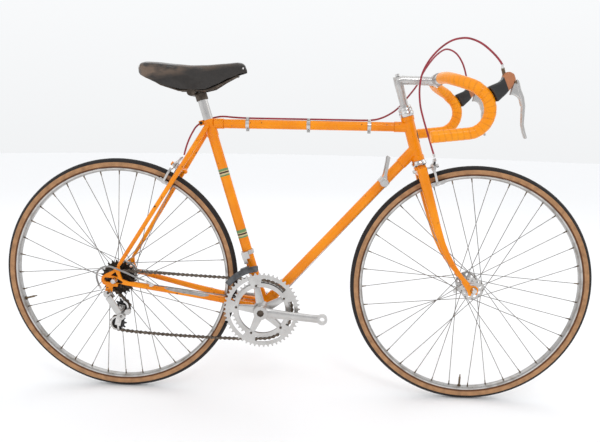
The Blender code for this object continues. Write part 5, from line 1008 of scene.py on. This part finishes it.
def make_chainrings(pins):
    inner = bmesh.new()
    centre = Vector((BOTTOM_BRACKET.x, INNER_RING_SIDE, BOTTOM_BRACKET.z))
    add_toothed_ring(inner, centre, INNER_TEETH, RING_INNER_RADIUS, 0.0020,
                     tooth_angle(pins, centre, pitch_radius(INNER_TEETH)))
    rounded(piece("inner_chainring_toothed", inner, "crankset", FINISHES["polished_alloy"], ("inner_chainring",),
                  30), 0.0003, 1)
    outer = bmesh.new()
    centre = Vector((BOTTOM_BRACKET.x, OUTER_RING_SIDE, BOTTOM_BRACKET.z))
    add_toothed_ring(outer, centre, OUTER_TEETH, RING_INNER_RADIUS, RING_THICKNESS, 0.0)
    ring = piece("outer_chainring_toothed", outer, "crankset", FINISHES["polished_alloy"], ("outer_chainring",),
                 30)
    cutter = bmesh.new()
    for i in range(5):
        middle = BOLT_ANGLE + 72 * i + 36
        arc = [polar(middle + 24 - 48 * k / 10, 0.0912) for k in range(11)]
        arc += [polar(middle - 25 + 50 * k / 10, 0.0782) for k in range(11)]
        add_plate(cutter, list(reversed(arc)), 0.02, LEFT, centre)
    bmesh.ops.recalc_face_normals(cutter, faces=cutter.faces)
    mesh = bpy.data.meshes.new("slots")
    cutter.to_mesh(mesh)
    cutter.free()
    slots = bpy.data.objects.new("slots", mesh)
    bpy.context.scene.collection.objects.link(slots)
    cut_away(ring, slots)
    rounded(ring, 0.0003, 1)
    bolts = bmesh.new()
    for i in range(5):
        face = bolt_place(i, OUTER_RING_SIDE - RING_THICKNESS / 2)
        add_turned(bolts, face, RIGHT, [(-0.006, 0.0), (-0.006, 0.0052), (0.0010, 0.0052), (0.0017, 0.0044),
                                        (0.0017, 0.0026), (0.0004, 0.0022), (0.0004, 0.0)], 24)
    piece("chainring_bolts", bolts, "crankset", FINISHES["bright_chrome"], ())
    # Painted shade: a dark disc in each bolt head stands for the shade inside its hex socket.
    socket_shades = bmesh.new()
    for i in range(5):
        face = bolt_place(i, OUTER_RING_SIDE - RING_THICKNESS / 2 - 0.0019)
        add_turned(socket_shades, face, RIGHT, [(-0.001, 0.0), (-0.001, 0.0034), (0.0006, 0.0034), (0.0002, 0.0)], 20)
    piece("bolt_socket_shades", socket_shades, "crankset", FINISHES["dark_steel"], ())


def make_cranks():
    for node in ("crank_right", "crank_left"):
        refined(node, "polished_alloy", width=0.0012, segments=3, angle=45)
    caps = bmesh.new()
    for hand in (-1, 1):
        face = BOTTOM_BRACKET + LEFT * hand * 0.0790
        add_turned(caps, face, LEFT * hand, [(-0.004, 0.0), (-0.004, 0.0095), (0.0003, 0.0100), (0.0008, 0.0092),
                                             (0.0002, 0.0078), (0.0002, 0.0)], 8)
    piece("crank_caps", caps, "crankset", FINISHES["dark_steel"], ())


def make_freewheel(pins):
    bm = bmesh.new()
    for i, teeth in enumerate(COG_TEETH):
        centre = Vector((REAR_HUB.x, SMALLEST_COG_SIDE + COG_SPACING * i, REAR_HUB.z))
        first = tooth_angle(pins, centre, pitch_radius(teeth)) if i == 0 else 7.0 * i
        add_toothed_ring(bm, centre, teeth, 0.0165, 0.0018, first)
    add_turned(bm, REAR_HUB, LEFT, [(-0.0535, 0.0098), (-0.0535, 0.0150), (-0.0525, 0.0165), (-0.0290, 0.0195),
                                    (-0.0245, 0.0195), (-0.0245, 0.0172), (-0.0350, 0.0172), (-0.0350, 0.0098)], 48)
    rounded(piece("freewheel_cogs", bm, "freewheel", COG_STEEL, ("freewheel",), 30), 0.00025, 1)


def make_pulleys(pins):
    for node, body, place in (("upper_jockey_wheel", "guide_pulley", GUIDE_PULLEY),
                              ("lower_jockey_wheel", "tension_pulley", TENSION_PULLEY)):
        centre = Vector((place[0], SMALLEST_COG_SIDE, place[1]))
        bm = bmesh.new()
        first = tooth_angle(pins, centre, pitch_radius(JOCKEY_TEETH))
        add_toothed_ring(bm, centre, JOCKEY_TEETH, 0.0060, 0.0019, first)
        add_turned(bm, centre, LEFT, [(-0.0034, 0.0033), (-0.0034, 0.0085), (0.0034, 0.0085), (0.0034, 0.0033)], 28)
        piece(node + "_toothed", bm, body, FINISHES["black_plastic"], (node,), 30)


def make_derailleurs():
    for node in ("rear_derailleur_body", "rear_derailleur_link", "rear_derailleur_knuckle", "front_derailleur_body"):
        refined(node, "polished_alloy", width=0.0010, segments=3, angle=45)
    refined("rear_derailleur_cage", "bright_chrome", width=0.0004, segments=1)
    refined("front_derailleur_cage", "dark_steel", CAGE_STEEL, width=0.0005, segments=2)
    cage = bmesh.new()
    face = SMALLEST_COG_SIDE - 0.0084
    lower = Vector((TENSION_PULLEY[0], face, TENSION_PULLEY[1]))
    arc = [polar(84 + 190 * k / 16, 0.0212) for k in range(17)]
    arc += [polar(274 - 190 * k / 16, 0.0166) for k in range(17)]
    add_plate(cage, arc, 0.0016, LEFT, lower)
    add_box(cage, lower + polar(78, 0.0105), polar(168), LEFT, polar(78), (0.0058, 0.0016, 0.0230))
    add_box(cage, lower + polar(274, 0.0105), polar(4), LEFT, polar(274), (0.0046, 0.0016, 0.0200))
    upper = Vector((GUIDE_PULLEY[0], face, GUIDE_PULLEY[1]))
    arc = [polar(70 - 130 * k / 12, 0.0206) for k in range(13)]
    arc += [polar(-60 + 130 * k / 12, 0.0158) for k in range(13)]
    add_plate(cage, arc, 0.0016, LEFT, upper)
    piece("cage_plate", cage, "derailleur_cage", FINISHES["bright_chrome"], (), 30)
    # Painted shade: a dark dished disc on each pivot stands for the shade inside its hex socket.
    for name, node, body, spot in (("upper_pivot_socket_shade", "rear_derailleur_body", "frame", (-0.5068, 0.3023)),
                                   ("lower_pivot_socket_shade", "rear_derailleur_knuckle", "derailleur_knuckle",
                                    (-0.4740, 0.2350))):
        socket = bmesh.new()
        outside = Vector((spot[0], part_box(node)[0][1], spot[1]))
        add_turned(socket, outside, RIGHT, [(-0.002, 0.0), (-0.002, 0.0036), (0.0003, 0.0036), (-0.0002, 0.0)], 24)
        piece(name, socket, body, FINISHES["dark_steel"], ())
    dark = bmesh.new()
    cap = [(-0.001, 0.0), (-0.001, 0.0068), (0.0006, 0.0066), (0.0010, 0.0058), (0.0010, 0.0)]
    add_turned(dark, Vector((-0.4620, face - 0.0008, 0.2425)), RIGHT, cap, 24)
    piece("cage_spring_cap", dark, "derailleur_cage", FINISHES["dark_steel"], ())
    bolts = bmesh.new()
    for x, z in (GUIDE_PULLEY, TENSION_PULLEY):
        face = Vector((x, SMALLEST_COG_SIDE - 0.0078, z))
        add_turned(bolts, face, RIGHT, [(-0.001, 0.0), (-0.001, 0.0042), (0.0012, 0.0040), (0.0016, 0.0030),
                                        (0.0016, 0.0)], 20)
    piece("pulley_bolts", bolts, "derailleur_cage", FINISHES["bright_chrome"], ())
    for node in ("shifter_clamp", "shift_lever_right", "shift_lever_left"):
        refined(node, "polished_alloy", width=0.0010, segments=3, angle=45)


# ---- Brakes ----


def make_brakes():
    """The caliper arms in polished alloy, with rubber pads in their holders."""
    front = (steer(-FRONT_BRAKE_DROP, FRONT_BRAKE_FORWARD), HEAD_FORWARD, -HEAD_UP, FRONT_PAD_DROP)
    seat_foot = REAR_HUB + Vector((0.0085, 0, 0.0335))
    seat_head = SEAT_TOP + Vector((0.0045, 0, -0.0110))
    down = (seat_foot - seat_head).normalized()
    out = Vector((down.z, 0, -down.x))
    bridge = seat_head.lerp(seat_foot, 0.318)
    rear = (bridge + out * REAR_BRAKE_BACK, out, down, REAR_PAD_DROP)
    for name, (pivot, out, down, drop) in (("front", front), ("rear", rear)):
        middle = pivot + down * drop + out * ARM_THICKNESS
        for hand in ("right", "left"):
            node = f"{name}_brake_arm_{hand}"
            shape = refined(node, "polished_alloy", width=0.0009, segments=3, angle=45)
            shape.data.materials.append(PAD_RUBBER)
            for face in shape.data.polygons:
                apart = face.center - middle
                if abs(apart.y) < 0.0190 and abs(apart.dot(down)) < 0.0046 and abs(apart.dot(out)) < 0.0260:
                    face.material_index = 1
        for hand, side in (("right", -1), ("left", 1)):
            holders = bmesh.new()
            post = middle + LEFT * side * 0.0200
            add_bar(holders, post, post + LEFT * side * 0.0085, 0.0052, sides=6)
            around = out.cross(LEFT)
            add_box(holders, post - LEFT * side * 0.0022 - out * 0.0020, out, LEFT, around, (0.0380, 0.0042, 0.0105))
            add_bar(holders, post + LEFT * side * 0.0080, post + LEFT * side * 0.0115, 0.0026, sides=12)
            piece(f"{name}_pad_nut_{hand}", holders, f"{name}_brake_{hand}", FINISHES["bright_chrome"], ())


# ---- Saddle ----


def along_table(share, table):
    """A smooth value between (share, value) pairs."""
    for (low, one), (high, other) in zip(table, table[1:]):
        if share <= high:
            t = (share - low) / (high - low)
            return one + (other - one) * (t * t * (3 - 2 * t) * 0.3 + t * 0.7)
    return table[-1][1]


SADDLE_RIDGE = ((0.0, 0.9105), (0.012, 0.9190), (0.04, 0.9262), (0.09, 0.9283), (0.20, 0.9272), (0.34, 0.9236),
                (0.49, 0.9210), (0.64, 0.9228), (0.80, 0.9268), (0.92, 0.9305), (0.965, 0.9286), (0.99, 0.9220),
                (1.0, 0.9120))
SADDLE_HEM = ((0.0, 0.9020), (0.05, 0.8900), (0.12, 0.8810), (0.20, 0.8715), (0.28, 0.8640), (0.36, 0.8590),
              (0.43, 0.8562), (0.53, 0.8556), (0.62, 0.8580), (0.72, 0.8715), (0.85, 0.8890), (0.95, 0.9000),
              (1.0, 0.9035))


def saddle_half_width(share):
    """Half the saddle's width, from its rear (0) to its nose (1)."""
    waist = 1 / (1 + math.exp(-(0.46 - share) / 0.085))
    rounded = math.sqrt(max(0.0, 1 - max(0.0, (0.17 - share) / 0.172) ** 2))
    nose = math.sqrt(max(0.0, 1 - max(0.0, (share - 0.93) / 0.074) ** 2))
    return (0.020 + 0.051 * waist) * (0.20 + 0.80 * rounded) * (0.30 + 0.70 * nose)


def make_saddle():
    """The leather top, crowned across and dropping at its sides to a hem, with rivets at its ends."""
    bm = bmesh.new()
    bmesh.ops.create_grid(bm, x_segments=72, y_segments=40, size=1.0)
    for vertex in bm.verts:
        share = (vertex.co.x + 1) / 2
        around = vertex.co.y
        half = saddle_half_width(share)
        ridge = along_table(share, SADDLE_RIDGE)
        hem = along_table(share, SADDLE_HEM)
        angle = min(1.0, abs(around) / 0.60) * math.pi / 2
        fall = max(0.0, (abs(around) - 0.50) / 0.50)
        fall = fall * fall * (3 - 2 * fall)
        crown = min(0.012, (ridge - hem) * 0.5)
        side = half * math.sin(angle) * (1.0 - 0.05 * fall)
        height = ridge - crown * (1 - math.cos(angle)) - max(0.0, ridge - hem - crown) * fall
        vertex.co = (-0.4225 + 0.2870 * share, math.copysign(side, around) if around else 0.0, height)
    bmesh.ops.recalc_face_normals(bm, faces=bm.faces)
    bmesh.ops.solidify(bm, geom=bm.faces[:], thickness=0.0035)
    piece("saddle_leather", bm, "saddle", FINISHES["black_leather"], ("saddle_top",), 60)
    rivets = bmesh.new()
    for share, spread in ((0.972, 0.42), (0.972, -0.42), (0.035, 0.5), (0.035, -0.5), (0.03, 0.0)):
        half = saddle_half_width(share)
        spot = Vector((-0.4225 + 0.2870 * share, half * spread * 2.0, along_table(share, SADDLE_RIDGE) - 0.0130))
        bmesh.ops.create_uvsphere(rivets, u_segments=14, v_segments=7, radius=0.0034,
                                  matrix=Matrix.Translation(spot))
    piece("saddle_rivets", rivets, "saddle", FINISHES["bright_chrome"], ())
    refined("saddle_frame", "dark_steel", width=0.0008, segments=2)
    refined("seatpost", "polished_alloy", width=0.0010, segments=3)


# ---- Studio ----


def make_studio():
    bm = bmesh.new()
    bmesh.ops.create_circle(bm, cap_ends=True, segments=64, radius=14.0, matrix=Matrix.Translation((0, 0, -0.0004)))
    mesh = bpy.data.meshes.new("floor")
    bm.to_mesh(mesh)
    bm.free()
    floor = bpy.data.objects.new("floor", mesh)
    bpy.context.scene.collection.objects.link(floor)
    finish = Finish("studio_floor", 0.9, 0.0, 0.0, 0.1)
    finish.colour(finish.mix(finish.noise(2.0, 2.0), rgb(0.925, 0.925, 0.930), rgb(0.935, 0.935, 0.940)))
    mesh.materials.append(finish.material)
    world = bpy.data.worlds.new("studio")
    bpy.context.scene.world = world
    world.use_nodes = True
    sky = world.node_tree.nodes["Background"]
    sky.inputs[1].default_value = 1.0
    place = world.node_tree.nodes.new("ShaderNodeTexCoord").outputs["Generated"]
    split = world.node_tree.nodes.new("ShaderNodeSeparateXYZ")
    world.node_tree.links.new(place, split.inputs[0])
    ramp = world.node_tree.nodes.new("ShaderNodeValToRGB")
    ramp.color_ramp.elements[0].position = 0.0
    ramp.color_ramp.elements[0].color = (0.66, 0.67, 0.69, 1)
    ramp.color_ramp.elements[1].position = 0.55
    ramp.color_ramp.elements[1].color = (0.90, 0.91, 0.92, 1)
    shift = world.node_tree.nodes.new("ShaderNodeMath")
    shift.operation = "MULTIPLY_ADD"
    shift.inputs[1].default_value = 0.5
    shift.inputs[2].default_value = 0.5
    lift = world.node_tree.nodes.new("ShaderNodeMath")
    lift.operation = "MULTIPLY_ADD"
    lift.inputs[1].default_value = 0.30
    lift.inputs[2].default_value = 1.0
    world.node_tree.links.new(split.outputs["Z"], lift.inputs[0])
    world.node_tree.links.new(lift.outputs[0], sky.inputs[1])
    world.node_tree.links.new(split.outputs["Y"], shift.inputs[0])
    world.node_tree.links.new(shift.outputs[0], ramp.inputs[0])
    world.node_tree.links.new(ramp.outputs[0], sky.inputs[0])
    lamps = (("key_light", (0.9, -3.0, 3.4), 0.9, 22.0), ("fill_light", (-3.0, -2.0, 2.2), 2.4, 10.0),
             ("back_light", (-0.5, 3.0, 3.2), 2.6, 14.0), ("front_light", (3.2, 0.6, 2.0), 1.8, 8.0))
    for name, place, size, power in lamps:
        lamp = bpy.data.lights.new(name, "AREA")
        lamp.energy = power
        lamp.size = size
        shape = bpy.data.objects.new(name, lamp)
        shape.location = place
        shape.rotation_euler = (Vector((0, 0, 0.45)) - Vector(place)).to_track_quat("-Z", "Y").to_euler()
        bpy.context.scene.collection.objects.link(shape)


def make_camera():
    width, height = 600, 442
    focal, centre_x, centre_y = 603.88, 305.424, 229.516
    yaw, pitch, roll = (math.radians(a) for a in (2.640, -9.872, -1.077))
    turn = Matrix.Rotation(yaw, 3, "Z") @ Matrix.Rotation(pitch, 3, "X") @ Matrix.Rotation(roll, 3, "Y")
    lens = bpy.data.cameras.new("camera")
    lens.sensor_width = 36.0
    lens.lens = focal / width * 36.0
    lens.shift_x = -(centre_x - width / 2) / width
    lens.shift_y = (centre_y - height / 2) / width
    lens.clip_start = 0.01
    camera = bpy.data.objects.new("camera", lens)
    bpy.context.scene.collection.objects.link(camera)
    matrix = Matrix((turn @ Vector((1, 0, 0)), turn @ UP, turn @ RIGHT)).transposed().to_4x4()
    matrix.translation = Vector((0.1075, -1.6637, 0.7701))
    camera.matrix_world = matrix
    bpy.context.scene.camera = camera


bpy.context.scene.view_settings.view_transform = "Standard"
make_camera()
make_studio()
make_wheels()
make_frame()
make_frame_trim()
make_stay_guard()
make_bars()
make_hoods()
make_cords()
chain_pins = make_chain()
make_chainrings(chain_pins)
make_cranks()
make_freewheel(chain_pins)
make_pulleys(chain_pins)
make_derailleurs()
make_brakes()
make_saddle()
